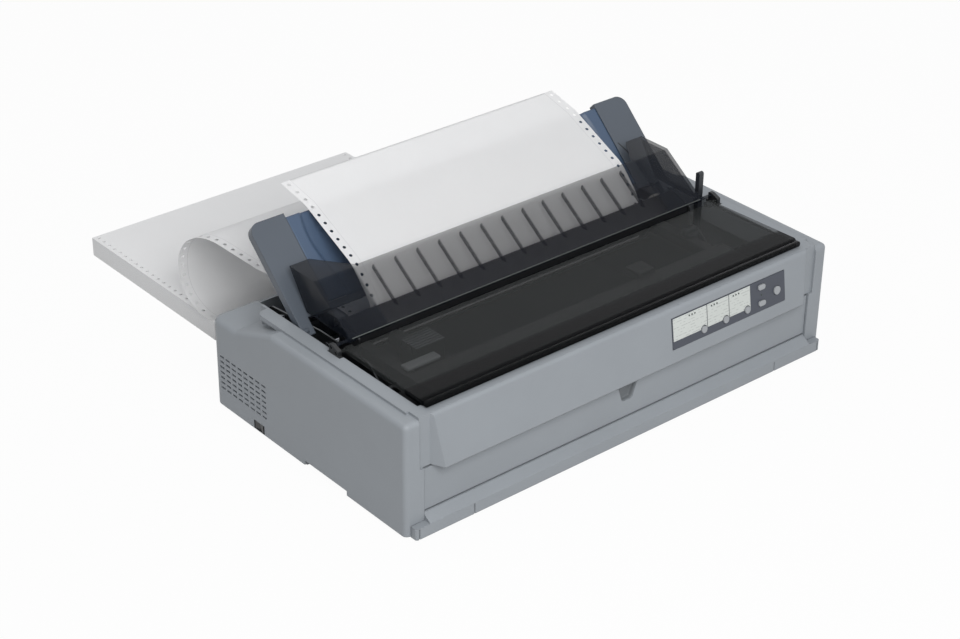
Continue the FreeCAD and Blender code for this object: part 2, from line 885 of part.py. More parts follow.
def lower_case():
    """The base: a tray inside the case, with a toe that steps out below the front door."""
    wall = S.case_wall
    side = half - wall - S.seam_gap
    back = rear - wall - S.seam_gap
    wrap = front + S.base_wrap - S.seam_gap
    corner = S.case_rear_round
    floor = S.foot_height + wall
    lip_back = door_front + S.door_wall
    lip_half = door_half - S.seam_gap
    block = fuse("base_block",
                 extrude("base_plan", "XY", [
                     (-side, wrap - over), (side, wrap - over), (side, back, corner), (-side, back, corner),
                 ], S.foot_height, S.seam_height),
                 extrude("base_toe", "XY", [
                     (-toe_half, toe_front, S.toe_round), (toe_half, toe_front, S.toe_round),
                     (toe_half, wrap), (-toe_half, wrap),
                 ], S.foot_height, S.seam_height - S.seam_gap),
                 extrude("base_lip", "YZ", [
                     (toe_front, S.seam_height - wall), (toe_front, S.seam_height, wall / 2),
                     (door_front, S.lip_height), (lip_back, S.lip_height), (lip_back, S.seam_height - wall),
                 ], -lip_half, lip_half))
    core = box("base_core", (-side + wall, side - wall), (wrap, back - wall), (floor, S.seam_height + over))
    toe_core = extrude("toe_core", "YZ", [
        (toe_front + wall, floor), (toe_front + wall, S.seam_height - wall / 2),
        (door_front, S.lip_height - wall),
        (wrap + over, S.lip_height - wall), (wrap + over, floor),
    ], -lip_half + wall, lip_half - wall)
    grooves = [
        box("lip_groove", span, (front - over, toe_front + S.lip_groove_depth),
            (zero, S.seam_height - wall / 2))
        for place_x in (door_half - S.lip_groove_side, toe_half - S.toe_groove_side)
        for span in both(place_x, place_x + S.lip_groove_width)
    ]
    switch_bay = box("switch_bay", (-side - over, -side + wall * 2),
                     (S.switch_front - S.seam_gap, S.switch_rear + S.seam_gap),
                     (S.switch_bottom - S.seam_gap, S.seam_height + over))
    bosses = []
    drills = []
    for x, y in chassis_posts():
        bosses.append(rod("base_boss", "Z", (x, y), (S.foot_height, S.tray_bottom), S.boss_radius))
        drills.append(rod("boss_drill", "Z", (x, y), (zero, S.tray_bottom + over),
                          S.screw_radius + S.run_gap))
        drills.append(rod("head_pocket", "Z", (x, y), (zero, S.foot_height + S.screw_head_height),
                          S.screw_head_radius + S.clear_gap))
    handholds = [
        box("base_handhold", span, (S.handhold_front, S.handhold_rear), (zero, S.handhold_height))
        for span in both(side - wall * 2, half)
    ]
    hollow = cut("base_hollow", block, core, toe_core, switch_bay, *grooves)
    bossed = fuse("base_bossed", hollow, *bosses)
    return keep("lower_case", cut("lower_case_body", bossed, *(drills + handholds)))


def chassis_posts():
    """Where screws hold the chassis tray to the lower case."""
    post_x = tray_half - S.tray_fold * 2
    return [(x, y) for x in (-post_x, post_x)
            for y in (S.tray_front + S.tray_fold * 2, S.tray_rear - S.tray_fold * 2)]


def rubber_feet():
    pads = []
    for x in (-half + S.foot_inset, half - S.foot_inset):
        for y in (front + S.foot_inset, rear - S.foot_inset):
            pads.append(rod("foot_pad", "Z", (x, y), (zero, S.foot_height), S.foot_radius))
    return keep("rubber_feet", group("foot_group", pads))


def case_screws():
    screws = []
    for x, y in chassis_posts():
        top = S.foot_height + S.screw_head_height
        head = rod("screw_head", "Z", (x, y), (S.foot_height, top), S.screw_head_radius)
        shank = rod("screw_shank", "Z", (x, y), (top, top + S.screw_length), S.screw_radius)
        screws.append(fuse("case_screw", head, shank))
    return keep("case_screws", group("screw_group", screws))


# Front door

def front_door():
    """A plate that swings down on a rolled lower edge, with a thumb notch in its upper edge."""
    side = door_half - S.door_gap
    high = S.nose_bottom - S.door_top_gap
    back = door_front + S.door_wall
    plate = box("door_plate", (-side, side), (door_front, back), (door_pin_z, high))
    roll = rod("door_roll", "X", (door_pin_y, door_pin_z), (-side, side), S.door_wall)
    depth = (door_front, back + S.door_flange)
    flanges = [
        box("door_top_flange", (-side, side), depth, (high - S.door_wall, high)),
        box("door_left_flange", (-side, -side + S.door_wall), depth, (door_pin_z, high)),
        box("door_right_flange", (side - S.door_wall, side), depth, (door_pin_z, high)),
    ]

    notch = extrude("thumb_notch", "XZ", [
        (-S.thumb_top_half, high + SAME), (-S.thumb_low_half, high - S.thumb_height, S.thumb_round),
        (S.thumb_low_half, high - S.thumb_height, S.thumb_round), (S.thumb_top_half, high + SAME),
    ], door_front - over, back + S.door_flange + over)
    pins = [
        rod("door_pin", "X", (door_pin_y, door_pin_z), span, S.door_pin_radius)
        for span in both(side - S.door_wall, door_half + S.door_pin_length)
    ]
    shell = fuse("door_ribbed", plate, roll, *(flanges + pins))
    return keep("front_door", cut("front_door_body", shell, notch))


# Covers

def cover_pins(name, y, z, inner, outer):
    """Hinge bosses under a cover's ends, with pins that turn in the case."""
    pieces = []
    for span in both(inner - S.hinge_boss_width, inner):
        pieces.append(rod(name + "_boss", "X", (y, z), span, S.hinge_boss_radius))
    for span in both(inner - S.hinge_boss_width, outer):
        pieces.append(rod(name + "_pin", "X", (y, z), span, S.hinge_pin_radius))
    return pieces


def cover_shape(name, inset, drop, open_rear):
    """The cover's outer form, or its inside when drawn in by a wall."""
    rear_y = S.cover_rear_y + open_rear
    side = [
        (rear_y, S.cover_rear_z - inset),
        (S.cover_front_y + inset, S.cover_front_z - inset, S.cover_round - inset),
        (S.cover_front_y + inset, S.cover_lip_z - drop),
        (rear_y, S.cover_lip_z - drop),
    ]
    rear_half = cover_rear_half - inset
    front_half = cover_front_half - inset
    plan = [
        (-rear_half, S.cover_rear_y + over),
        (-front_half, S.cover_front_y - over, S.cover_corner),
        (front_half, S.cover_front_y - over, S.cover_corner),
        (rear_half, S.cover_rear_y + over),
    ]
    return common(name,
                  extrude(name + "_side", "YZ", side, -cover_front_half, cover_front_half),
                  extrude(name + "_plan", "XY", plan, S.cover_lip_z - over * 2, S.cover_front_z + over))


def printer_cover():
    """The smoked front cover: a plate with a rounded front lip and skirts at its sides."""
    wall = S.cover_wall
    plate = cut("cover_plate", cover_shape("cover_outer", zero, zero, zero),
                cover_shape("cover_inner", wall, over, over))
    inner = cover_rear_half - wall
    lugs = [
        box("cover_lug", span,
            (S.cover_rear_y - S.hinge_boss_radius, S.cover_hinge_y),
            (S.cover_hinge_z - S.hinge_boss_radius / 2, S.cover_rear_z - wall / 2))
        for span in both(inner - S.hinge_boss_width, inner)
    ]
    pins = cover_pins("cover", S.cover_hinge_y, S.cover_hinge_z, inner, hinge_reach)
    return keep("printer_cover", fuse("printer_cover_body", plate, *(lugs + pins)))


def hood_slope():
    return (S.hood_top_z - S.hood_foot_z) / (S.hood_top_y - S.hood_foot_y)


def paper_hood():
    """The rear cover: a slanted front, a roof cut away for the paper and two side walls."""
    wall = S.hood_wall
    slope = hood_slope()
    drop = wall * root_one_plus_square(slope)
    outer = [
        (S.hood_foot_y, S.hood_foot_z),
        (S.hood_top_y, S.hood_top_z),
        (S.hood_rear_y, S.hood_top_z),
        (S.hood_heel_y, S.hood_heel_z),
        (S.hood_foot_y, S.hood_foot_z - drop),
    ]
    roof_in = S.hood_top_z - wall
    knee = S.hood_foot_y + (roof_in - S.hood_foot_z + drop) / slope
    inner = [
        (S.hood_foot_y - over, S.hood_foot_z - drop - slope * over),
        (knee, roof_in),
        (S.hood_rear_y + over, roof_in),
        (S.hood_rear_y + over, S.hood_foot_z - drop - slope * over),
    ]
    block = extrude("hood_block", "YZ", outer, -hood_half, hood_half)
    core = extrude("hood_core", "YZ", inner, -hood_half + wall, hood_half - wall)
    mouth = extrude("hood_mouth", "XY", [
        (-hood_tab_inner, S.hood_top_y + wall),
        (hood_tab_inner, S.hood_top_y + wall),
        (hood_tab_rear, S.hood_rear_y + over),
        (-hood_tab_rear, S.hood_rear_y + over),
    ], roof_in - over, S.hood_top_z + over)
    ribs = []
    for index in range(HOOD_RIBS):
        centre = S.hood_rib_pitch * (index - (HOOD_RIBS - 1) / 2)
        ribs.append(extrude("hood_rib", "YZ", [
            (S.hood_foot_y + S.hood_rib_depth * 2, S.hood_foot_z + slope * S.hood_rib_depth * 2 - drop / 2),
            (knee - S.hood_rib_depth / 2, roof_in - slope * S.hood_rib_depth / 2 + drop / 2),
            (knee, roof_in - S.hood_rib_depth, S.hood_rib_depth / 2),
            (S.hood_foot_y + S.hood_rib_depth * 3,
             S.hood_foot_z + slope * S.hood_rib_depth * 3 - drop - S.hood_rib_depth, S.hood_rib_depth),
        ], centre - S.hood_rib_width / 2, centre + S.hood_rib_width / 2))
    lugs = [
        box("hood_lug", span,
            (S.hood_hinge_y - S.hinge_boss_radius / 2, S.hood_hinge_y + S.hinge_boss_radius),
            (S.hood_hinge_z, S.hood_foot_z))
        for span in both(hood_half - S.hinge_boss_width, hood_half)
    ]
    pins = cover_pins("hood", S.hood_hinge_y, S.hood_hinge_z, hood_half, hinge_reach)
    shell = cut("hood_shell", block, core, mouth)
    return keep("rear_cover", fuse("rear_cover_body", shell, *(ribs + lugs + pins)))


def root_one_plus_square(slope):
    return Size(math.sqrt(1 + slope.value ** 2), "sqrt(1 + %s * %s)" % (slope.text, slope.text))


# Sheet guide, drawn flat (X, up the guide, outward) and leant back on its pivot

def on_guide(piece):
    lean = FreeCAD.Rotation(FreeCAD.Vector(1, 0, 0), S.guide_lean.value)
    place(piece, lean, 0, S.guide_pivot_y, S.guide_pivot_z)
    return piece


def guide_arm():
    """One upright arm: a rounded tray, open behind."""
    inner = guide_half - S.guide_arm_width
    leg = guide_half - S.guide_leg_width
    foot = -S.guide_pin_radius * 2
    solid = extrude("arm_block", "XY", [
        (leg, foot), (guide_half, foot),
        (guide_half, S.guide_length, S.guide_corner), (inner, S.guide_length),
        (inner, S.guide_leg_top), (leg, S.guide_leg_top),
    ], -S.guide_thickness, zero)
    wall = S.guide_wall
    hollow = extrude("arm_hollow", "XY", [
        (inner + wall, S.guide_bar), (guide_half - wall, S.guide_bar),
        (guide_half - wall, S.guide_length - wall, S.guide_corner - wall),
        (inner + wall, S.guide_length - wall),
    ], -S.guide_thickness - over, -wall)
    return cut("guide_arm_body", solid, hollow)


def sheet_guide_frame():
    inner = guide_half - S.guide_arm_width
    bars = [
        box("guide_low_bar", (-inner - over, inner + over), (S.guide_leg_top, S.guide_bar),
            (-S.guide_thickness, -S.guide_thickness / 2)),
        box("guide_high_bar", (-inner - over, inner + over),
            (S.guide_panel_top - S.guide_bar, S.guide_panel_top - S.guide_bar / 2),
            (-S.guide_thickness, -S.guide_panel_drop - S.guide_wall)),
    ]
    pins = [
        rod("guide_pin", "X", (zero, zero), span, S.guide_pin_radius)
        for span in both(guide_half - S.guide_leg_width / 2, guide_reach)
    ]
    frame = fuse("sheet_guide_body", *(both_sides("guide_arm", guide_arm()) + bars + pins))
    return keep("sheet_guide_frame", on_guide(frame))


def sheet_guide_panel():
    inner = guide_half - S.guide_arm_width - S.seam_gap
    plate = box("guide_plate", (-inner, inner), (S.guide_bar, S.guide_panel_top),
                (-S.guide_panel_drop - S.guide_wall, -S.guide_panel_drop))
    return keep("sheet_guide_panel", on_guide(group("guide_plate_group", [plate])))


def edge_guide(label, x):
    middle = S.guide_panel_top / 2
    base = -S.guide_panel_drop + S.seam_gap
    foot = box(label + "_foot", (x - S.edge_guide_width / 2, x + S.edge_guide_width / 2),
               (middle - S.edge_guide_length / 2, middle + S.edge_guide_length / 2),
               (base, base + S.edge_guide_height / 2))
    fin = box(label + "_fin", (x - S.guide_wall / 2, x + S.guide_wall / 2),
              (middle - S.edge_guide_length / 2, middle + S.edge_guide_length / 2),
              (base, base + S.edge_guide_height))
    return keep(label, on_guide(fuse(label + "_body", foot, fin)))


# Control panel

def panel_buttons():
    """Each button's name, centre along the panel and up it, and its half sizes."""
    buttons = [
        ("round_button_%d" % (index + 1), button_first_x + S.button_pitch * index,
         S.panel_bottom + S.button_row, S.button_radius, None)
        for index in range(BUTTON_COUNT)
    ]
    buttons.append(("feed_button", oval_x, S.panel_bottom + S.oval_low_row, S.oval_height / 2, S.oval_width))
    buttons.append(("load_button", oval_x, S.panel_bottom + S.oval_low_row + S.oval_pitch,
                    S.oval_height / 2, S.oval_width))
    buttons.append(("pause_button", select_x, S.panel_bottom + S.select_row, S.select_radius, None))
    return buttons


def button_form(name, x, row, radius, width, span):
    if width is None:
        return rod(name, "Z", (x, row), span, radius)
    side = width / 2
    bend = radius - S.seam_gap
    return extrude(name, "XY", [
        (x - side, row - radius, bend), (x + side, row - radius, bend),
        (x + side, row + radius, bend), (x - side, row + radius, bend),
    ], span[0], span[1])


def control_panel():
    gap = S.seam_gap
    plate = extrude("panel_plate", "XY", [
        (panel_left + gap, S.panel_bottom + gap, S.panel_corner),
        (panel_left + S.panel_width - gap, S.panel_bottom + gap, S.panel_corner),
        (panel_left + S.panel_width - gap, S.panel_bottom + S.panel_height - gap, S.panel_corner),
        (panel_left + gap, S.panel_bottom + S.panel_height - gap, S.panel_corner),
    ], -S.panel_thickness, S.panel_proud)
    holes = []
    for name, x, row, radius, width in panel_buttons():
        wide = None if width is None else width + gap * 2
        holes.append(button_form(name + "_hole", x, row, radius + gap, wide,
                                 (-S.panel_thickness - over, S.panel_proud + over)))
    return keep("control_panel", on_nose(cut("control_panel_body", plate, *holes)))


def buttons():
    for name, x, row, radius, width in panel_buttons():
        top = S.panel_proud + S.button_proud
        cap = button_form(name + "_cap", x, row, radius, width, (-S.button_stem, top))
        keep(name, on_nose(group(name + "_group", [cap])))


def label_edges():
    """The left and right edge of each label field; the buttons bite into their lower right corners."""
    edges = []
    left = label_left
    for index in range(BUTTON_COUNT):
        right = button_first_x + S.button_pitch * index + S.label_reach
        edges.append((left, right))
        left = right + S.label_gap
    return edges


def panel_labels():
    low = S.panel_bottom + S.label_row
    levels = (S.panel_proud, S.panel_proud + S.label_thickness)
    cards = []
    for index, span in enumerate(label_edges()):
        card = box("label_card", span, (low, low + S.label_height), levels)
        bite = rod("label_bite", "Z",
                   (button_first_x + S.button_pitch * index, S.panel_bottom + S.button_row),
                   (levels[0] - over, levels[1] + over), S.button_radius + S.label_gap)
        cards.append(cut("label_field", card, bite))
    return keep("panel_labels", on_nose(group("label_group", cards)))


def indicator_lights():
    top = S.panel_proud + S.label_thickness
    row = S.panel_bottom + S.label_row + S.label_height - S.light_inset
    lamps = []
    for left, right in label_edges():
        for index in range(LABEL_LIGHTS):
            lamps.append(rod("lamp", "Z", (right - S.label_height + S.light_pitch * index, row),
                             (top, top + S.light_height), S.light_radius))
    lamps.append(rod("lamp", "Z", (oval_x, S.panel_bottom + S.oval_low_row + S.oval_pitch / 2),
                     (S.panel_proud, top), S.light_radius))
    return keep("indicator_lights", on_nose(group("lamp_group", lamps)))


# Chassis

def chassis_tray():
    side = tray_half
    plate = box("tray_plate", (-side, side), (S.tray_front, S.tray_rear),
                (S.tray_bottom, S.tray_bottom + S.tray_thickness))
    folds = [
        box("tray_fold", (-side, side), span, (S.tray_bottom, S.tray_bottom + S.tray_fold))
        for span in ((S.tray_front, S.tray_front + S.tray_thickness),
                     (S.tray_rear - S.tray_thickness, S.tray_rear))
    ]
    holes = [
        rod("tray_hole", "Z", (x, y), (S.tray_bottom - over, S.tray_bottom + S.tray_fold),
            S.screw_radius + S.run_gap)
        for x, y in chassis_posts()
    ]
    post_back = S.belt_y - S.belt_width / 2 - S.case_wall
    post_top = carriage_shaft_z + S.case_wall
    post = box("idler_post", (pulley_x - S.case_wall, pulley_x + S.case_wall),
               (post_back - S.case_wall, post_back), (S.tray_bottom, post_top))
    pin = rod("idler_pin", "Y", (pulley_x, carriage_shaft_z),
              (post_back - over, S.belt_y + S.belt_width / 2 + S.case_wall / 3), S.screw_radius - S.run_gap)
    drilled = cut("tray_drilled", fuse("tray_folded", plate, *folds), *holes)
    return keep("chassis_tray", fuse("chassis_tray_body", drilled, post, pin))


def frame_plate():
    low = S.tray_bottom + S.tray_thickness
    ear_front = page_face_y - S.frame_ear_depth
    plate = extrude("frame_side", "YZ", [
        (S.frame_front, low),
        (S.frame_front, S.ribbon_bottom - S.clear_gap, S.frame_thickness * 4),
        (carriage_shaft_y - S.platen_radius, S.ribbon_bottom - S.clear_gap, S.frame_thickness * 4),
        (carriage_shaft_y, S.frame_top, S.frame_thickness * 4),
        (ear_front, S.frame_top),
        (ear_front, S.frame_ear_top, S.frame_thickness * 2),
        (ear_front + S.frame_ear_depth, S.frame_ear_top, S.frame_thickness * 2),
        (ear_front + S.frame_ear_depth, S.frame_top),
        (S.platen_y + S.platen_radius, S.frame_top, S.frame_thickness * 4),
        (S.frame_rear, tractor_z + S.tractor_width / 2, S.frame_thickness * 4),
        (S.frame_rear, low),
    ], frame_inner, frame_outer)
    span = (frame_inner - over, frame_outer + over)
    return cut("frame_bored", plate,
               rod("platen_bore", "X", (S.platen_y, S.platen_z), span, S.shaft_radius + S.run_gap),
               rod("tractor_bore", "X", (tractor_y, tractor_z), span, S.shaft_radius + S.run_gap),
               rod("rail_bore", "X", (rail_y, rail_z), span, S.rail_radius),
               rod("carriage_bore", "X", (carriage_shaft_y, carriage_shaft_z), span, S.carriage_shaft_radius))


def gear_centre(which):
    """Where each gear of the paper drive turns, as (Y, Z)."""
    reach = S.gear_module * (IDLER_TEETH + PLATEN_TEETH) / 2
    idler = (S.platen_y + cosine(S.idler_angle) * reach, S.platen_z + sine(S.idler_angle) * reach)
    if which == "idler":
        return idler
    step = S.gear_module * (IDLER_TEETH + PINION_TEETH) / 2
    apart = (tractor_y - idler[0], tractor_z - idler[1])
    square = apart[0] * apart[0] + apart[1] * apart[1]
    lift = Size(math.sqrt((step.value ** 2 - square.value / 4) / square.value),
                "sqrt((%s * %s - %s / 4) / %s)" % (step.text, step.text, square.text, square.text))
    return (idler[0] + apart[0] / 2 + apart[1] * lift, idler[1] + apart[1] / 2 - apart[0] * lift)


def side_frames():
    right = frame_plate()
    idler = gear_centre("idler")
    motor = gear_centre("pinion")
    stud = rod("idler_stud", "X", idler,
               (frame_outer - S.clear_gap, frame_outer + S.gear_width + S.gear_offset),
               S.rail_radius - S.run_gap)
    lever_bore = rod("lever_bore", "X", (S.lever_y, S.lever_pivot_z),
                     (frame_inner - over, frame_outer + over),
                     S.rail_radius + S.run_gap)
    motor_bore = rod("motor_bore", "X", motor, (frame_inner - over, frame_outer + over),
                     S.gear_module * PINION_TEETH / 2 + S.gear_module * 2)
    bored = cut("right_frame_bored", right, lever_bore, motor_bore)
    keep("right_side_frame", fuse("right_frame_body", bored, stud))
    keep("left_side_frame", mirrored("left_frame_body", frame_plate()))


def cross_rods():
    span = (-frame_outer, frame_outer)
    keep("carriage_shaft", group("carriage_shaft_group", [
        rod("carriage_rod", "X", (carriage_shaft_y, carriage_shaft_z), span,
            S.carriage_shaft_radius - fit_slack)]))
    keep("tractor_guide_rail", group("tractor_rail_group", [
        rod("rail_rod", "X", (rail_y, rail_z), span, S.rail_radius - fit_slack)]))
    rail_top = carriage_shaft_z + S.carriage_shaft_radius
    rail_left = pulley_x - S.carriage_motor_radius - over * 2
    leg = box("rail_leg", (-rail_left, -rail_left + S.tray_thickness * 2),
              (S.rail_front_y, S.rail_front_y + S.tray_fold), (S.tray_bottom + S.tray_thickness, rail_top))
    keep("carriage_rail", fuse("carriage_rail_body", leg, extrude("guide_rail", "YZ", [
        (S.rail_front_y, rail_top - S.tray_fold),
        (S.rail_front_y + S.tray_thickness, rail_top - S.tray_fold),
        (S.rail_front_y + S.tray_thickness, rail_top - S.tray_thickness),
        (S.rail_front_y + S.tray_fold, rail_top - S.tray_thickness),
        (S.rail_front_y + S.tray_fold, rail_top),
        (S.rail_front_y, rail_top),
    ], -rail_left, frame_inner)))
    bar_front = page_face_y - S.frame_ear_depth + S.case_wall
    bar_back = page_face_y - S.case_wall
    keep("tension_bar", extrude("tension_bar", "YZ", [
        (bar_front, S.frame_ear_top - S.tension_depth),
        (bar_front, S.frame_ear_top, S.case_wall / 2),
        (bar_back, S.frame_ear_top + S.tension_rise, S.case_wall),
        (bar_back, S.frame_ear_top - S.tension_depth),
    ], -frame_inner, frame_inner))


# Paper

def band(points, thickness):
    """A thin strip's side face along a line of (Y, Z, radius) points with rounded bends."""
    spots = [FreeCAD.Vector(0, number(point[0]), number(point[1])) for point in points]
    edges = []
    last = spots[0]
    for index in range(1, len(spots) - 1):
        flat = [FreeCAD.Vector(spot.y, spot.z, 0) for spot in spots[index - 1:index + 2]]
        radius = number(points[index][2])
        start, end, arc, _ = corner_arc(flat[0], flat[1], flat[2], radius)
        start = FreeCAD.Vector(0, start.x, start.y)
        end = FreeCAD.Vector(0, end.x, end.y)
        middle_angle = (arc.FirstParameter + arc.LastParameter) / 2
        if arc.LastParameter < arc.FirstParameter:
            middle_angle += math.pi
        centre = arc.Center
        middle = FreeCAD.Vector(0, centre.x + radius * math.cos(middle_angle),
                                centre.y + radius * math.sin(middle_angle))
        if (start - last).Length > SAME:
            edges.append(Part.LineSegment(last, start).toShape())
        edges.append(Part.Arc(start, middle, end).toShape())
        last = end
    edges.append(Part.LineSegment(last, spots[-1]).toShape())
    path = Part.Wire(edges)
    return path.makeOffset2D(-number(thickness), 0, True, True, False)


def wrap_corners(radius, wrap_shares):
    """The bends that take the paper under the platen, as shares of a half turn."""
    corners = []
    for middle_share, half_share in wrap_shares:
        angle = math.pi * middle_share
        reach = radius / math.cos(math.pi * half_share)
        corners.append((S.platen_y.value + reach * math.cos(angle),
                        S.platen_z.value + reach * math.sin(angle), radius))
    return corners


def web_level():
    """The height of the paper's under face where it runs level over the tractors."""
    return tractor_z + sprocket_radius() + S.paper_gap


def web_split():
    """Where the level web ends and the slack loop behind the printer begins."""
    return tractor_y + S.gate_length / 2 + over


def paper_route():
    radius = S.platen_radius.value + S.paper_gap.value
    feed_y = S.platen_y + S.platen_radius * 4 / 3
    return [
        (web_split(), web_level()),
        (feed_y, web_level(), S.feed_bend),
    ] + wrap_corners(radius, PAPER_WRAP_SHARES) + [
        (S.platen_y - radius, S.page_bend_z, S.page_bend),
        (S.page_lip_y, S.page_lip_z, S.page_bend),
        (S.page_top_y, S.page_top_z),
    ]


def loop_route():
    return [
        (S.stack_front, S.stack_height + S.paper_gap),
        (S.loop_rear, S.stack_height + S.paper_gap, S.loop_round),
        (S.loop_rear, S.loop_high, S.loop_round),
        (S.web_rear_y, S.web_rear_z, S.loop_round),
        (web_split() + over * 4, web_level(), S.feed_bend),
        (web_split(), web_level()),
    ]


def sprocket_radius():
    return S.hole_pitch * SPROCKET_PINS / (2 * math.pi)


def continuous_paper():
    """The web from the slack loop over the tractors and round the platen to the page that stands up."""
    breadth = FreeCAD.Vector(S.paper_width.value, 0, 0)
    start = FreeCAD.Vector(-paper_half.value, 0, 0)
    web = band(paper_route(), S.paper_thickness).extrude(breadth)
    loop = band(loop_route(), S.paper_thickness).extrude(breadth)
    web.translate(start)
    loop.translate(start)
    slot_half = S.sprocket_pin_radius.value + S.clear_gap.value + S.tractor_take_up.value
    for side in (-1, 1):
        slot = Part.makeBox(slot_half * 2, S.gate_length.value, S.tractor_width.value)
        slot.translate(FreeCAD.Vector(side * hole_line().value - slot_half,
                                      (tractor_y - S.gate_length / 2).value, web_level().value - over.value))
        web = web.cut(slot)
    lean = FreeCAD.Matrix()
    lean.A12 = S.stack_shift.value / (S.stack_front - web_split()).value
    lean.A14 = -lean.A12 * web_split().value
    keep("continuous_paper", group("paper_group", [
        shaped("paper_web", web),
        shaped("paper_loop", loop.transformGeometry(lean)),
    ]))


def paper_stack():
    return keep("paper_stack", group("stack_group", [
        box("stack_block", (S.stack_shift - paper_half, S.stack_shift + paper_half),
            (S.stack_front, S.stack_front + S.stack_page), (zero, S.stack_height))]))


def hole_line():
    return paper_half - S.hole_inset


def paper_guide():
    """The curved plate that leads the paper from the tractors round the platen."""
    gap = S.paper_gap.value * 2 + S.paper_thickness.value
    thickness = S.tray_thickness.value
    radius = S.platen_radius.value + gap
    over_tractor = tractor_z.value + sprocket_radius().value - gap
    last = math.pi * (GUIDE_WRAP_SHARES[-1][0] - GUIDE_WRAP_SHARES[-1][1])
    route = [
        (tractor_y.value - S.tractor_width.value, over_tractor),
        (S.platen_y.value + S.platen_radius.value * 4 / 3 + gap, over_tractor, S.platen_radius.value / 2),
    ] + wrap_corners(radius, GUIDE_WRAP_SHARES) + [
        (S.platen_y.value + radius * math.cos(last) - over.value * math.sin(-last),
         S.platen_z.value + radius * math.sin(last) - over.value * math.cos(last)),
    ]
    face = band(route, thickness)
    side = platen_half.value
    shape = face.extrude(FreeCAD.Vector(side * 2, 0, 0))
    shape.translate(FreeCAD.Vector(-side, 0, 0))
    for x in (-frame_inner.value, side - SAME):
        ear = Part.makeBox(frame_inner.value - side + SAME, S.platen_radius.value, thickness)
        ear.translate(FreeCAD.Vector(x, S.platen_y.value - S.platen_radius.value / 2,
                                     S.platen_z.value - radius - thickness))
        shape = shape.fuse(ear)
    return keep("paper_guide", shaped("paper_guide_plate", shape))


# Gears, with straight-sided teeth

def gear_shape(teeth, centre, left, phase, bore, width=None):
    """A spur gear; phase is the angle of the middle of one tooth."""
    module = S.gear_module.value
    pitch_radius = module * teeth / 2
    root = pitch_radius - module * TOOTH_ROOT_SHARE
    tip = pitch_radius + module
    quarter = 90.0 / teeth
    shave = math.degrees(S.gear_backlash.value / pitch_radius) / 2
    spots = []
    for tooth in range(teeth):
        middle = phase + 360.0 / teeth * tooth
        for radius, share in ((root, -ROOT_WIDTH_SHARE), (tip, -TIP_WIDTH_SHARE),
                              (tip, TIP_WIDTH_SHARE), (root, ROOT_WIDTH_SHARE)):
            angle = math.radians(middle + share * quarter - math.copysign(shave, share))
            spots.append(FreeCAD.Vector(left.value, centre[0].value + radius * math.cos(angle),
                                        centre[1].value + radius * math.sin(angle)))
    spots.append(spots[0])
    depth = (width or S.gear_width).value
    gear = Part.Face(Part.makePolygon(spots)).extrude(FreeCAD.Vector(depth, 0, 0))
    foot = FreeCAD.Vector(left.value - SAME, centre[0].value, centre[1].value)
    hub = Part.makeCylinder(bore, depth + 2 * SAME, foot, FreeCAD.Vector(1, 0, 0))
    return gear.cut(hub)


def heading(start, end):
    return math.degrees(math.atan2(end[1].value - start[1].value, end[0].value - start[0].value))


def meshed_phase(driver_teeth, driver_phase, teeth, towards):
    """The tooth angle that puts a tooth gap opposite the driver's tooth."""
    offset = (towards - driver_phase) * driver_teeth / teeth
    return towards + 180.0 + offset + 180.0 / teeth


def paper_drive():
    left = frame_outer + S.gear_offset
    idler = gear_centre("idler")
    pinion = gear_centre("pinion")
    platen = (S.platen_y, S.platen_z)
    tractor = (tractor_y, tractor_z)
    idler_phase = heading(idler, platen)
    platen_phase = meshed_phase(IDLER_TEETH, idler_phase, PLATEN_TEETH, heading(idler, platen))
    pinion_phase = meshed_phase(IDLER_TEETH, idler_phase, PINION_TEETH, heading(idler, pinion))
    tractor_phase = meshed_phase(PINION_TEETH, pinion_phase, TRACTOR_TEETH, heading(pinion, tractor))
    stud = S.rail_radius.value
    keep("idler_gear", shaped("idler_gear_body", gear_shape(IDLER_TEETH, idler, left, idler_phase, stud)))
    shaft = S.shaft_radius.value
    keep("platen_gear", shaped("platen_gear_body",
                               gear_shape(PLATEN_TEETH, platen, left, platen_phase, shaft)))
    keep("tractor_gear", shaped("tractor_gear_body",
                                gear_shape(TRACTOR_TEETH, tractor, left, tractor_phase, shaft)))
    bore = S.screw_radius.value
    keep("feed_pinion", shaped("pinion_body", gear_shape(PINION_TEETH, pinion, left, pinion_phase, bore)))


def feed_motor():
    centre = gear_centre("pinion")
    right = frame_inner - S.seam_gap
    can = rod("feed_can", "X", centre, (right - S.feed_motor_length, right), S.feed_motor_radius)
    wide = S.feed_motor_radius + S.tray_fold / 2
    flange = box("feed_flange", (right - S.tray_thickness, right), (centre[0] - wide, centre[0] + wide),
                 (centre[1] - S.feed_motor_radius / 2, centre[1] + S.feed_motor_radius / 2))
    pilot = rod("feed_pilot", "X", centre, (right, frame_outer), S.shaft_radius)
    shaft = rod("feed_shaft", "X", centre, (right, frame_outer + S.gear_offset + S.gear_width),
                S.screw_radius - S.run_gap)
    return keep("feed_motor", fuse("feed_motor_body", can, flange, pilot, shaft))


# Platen

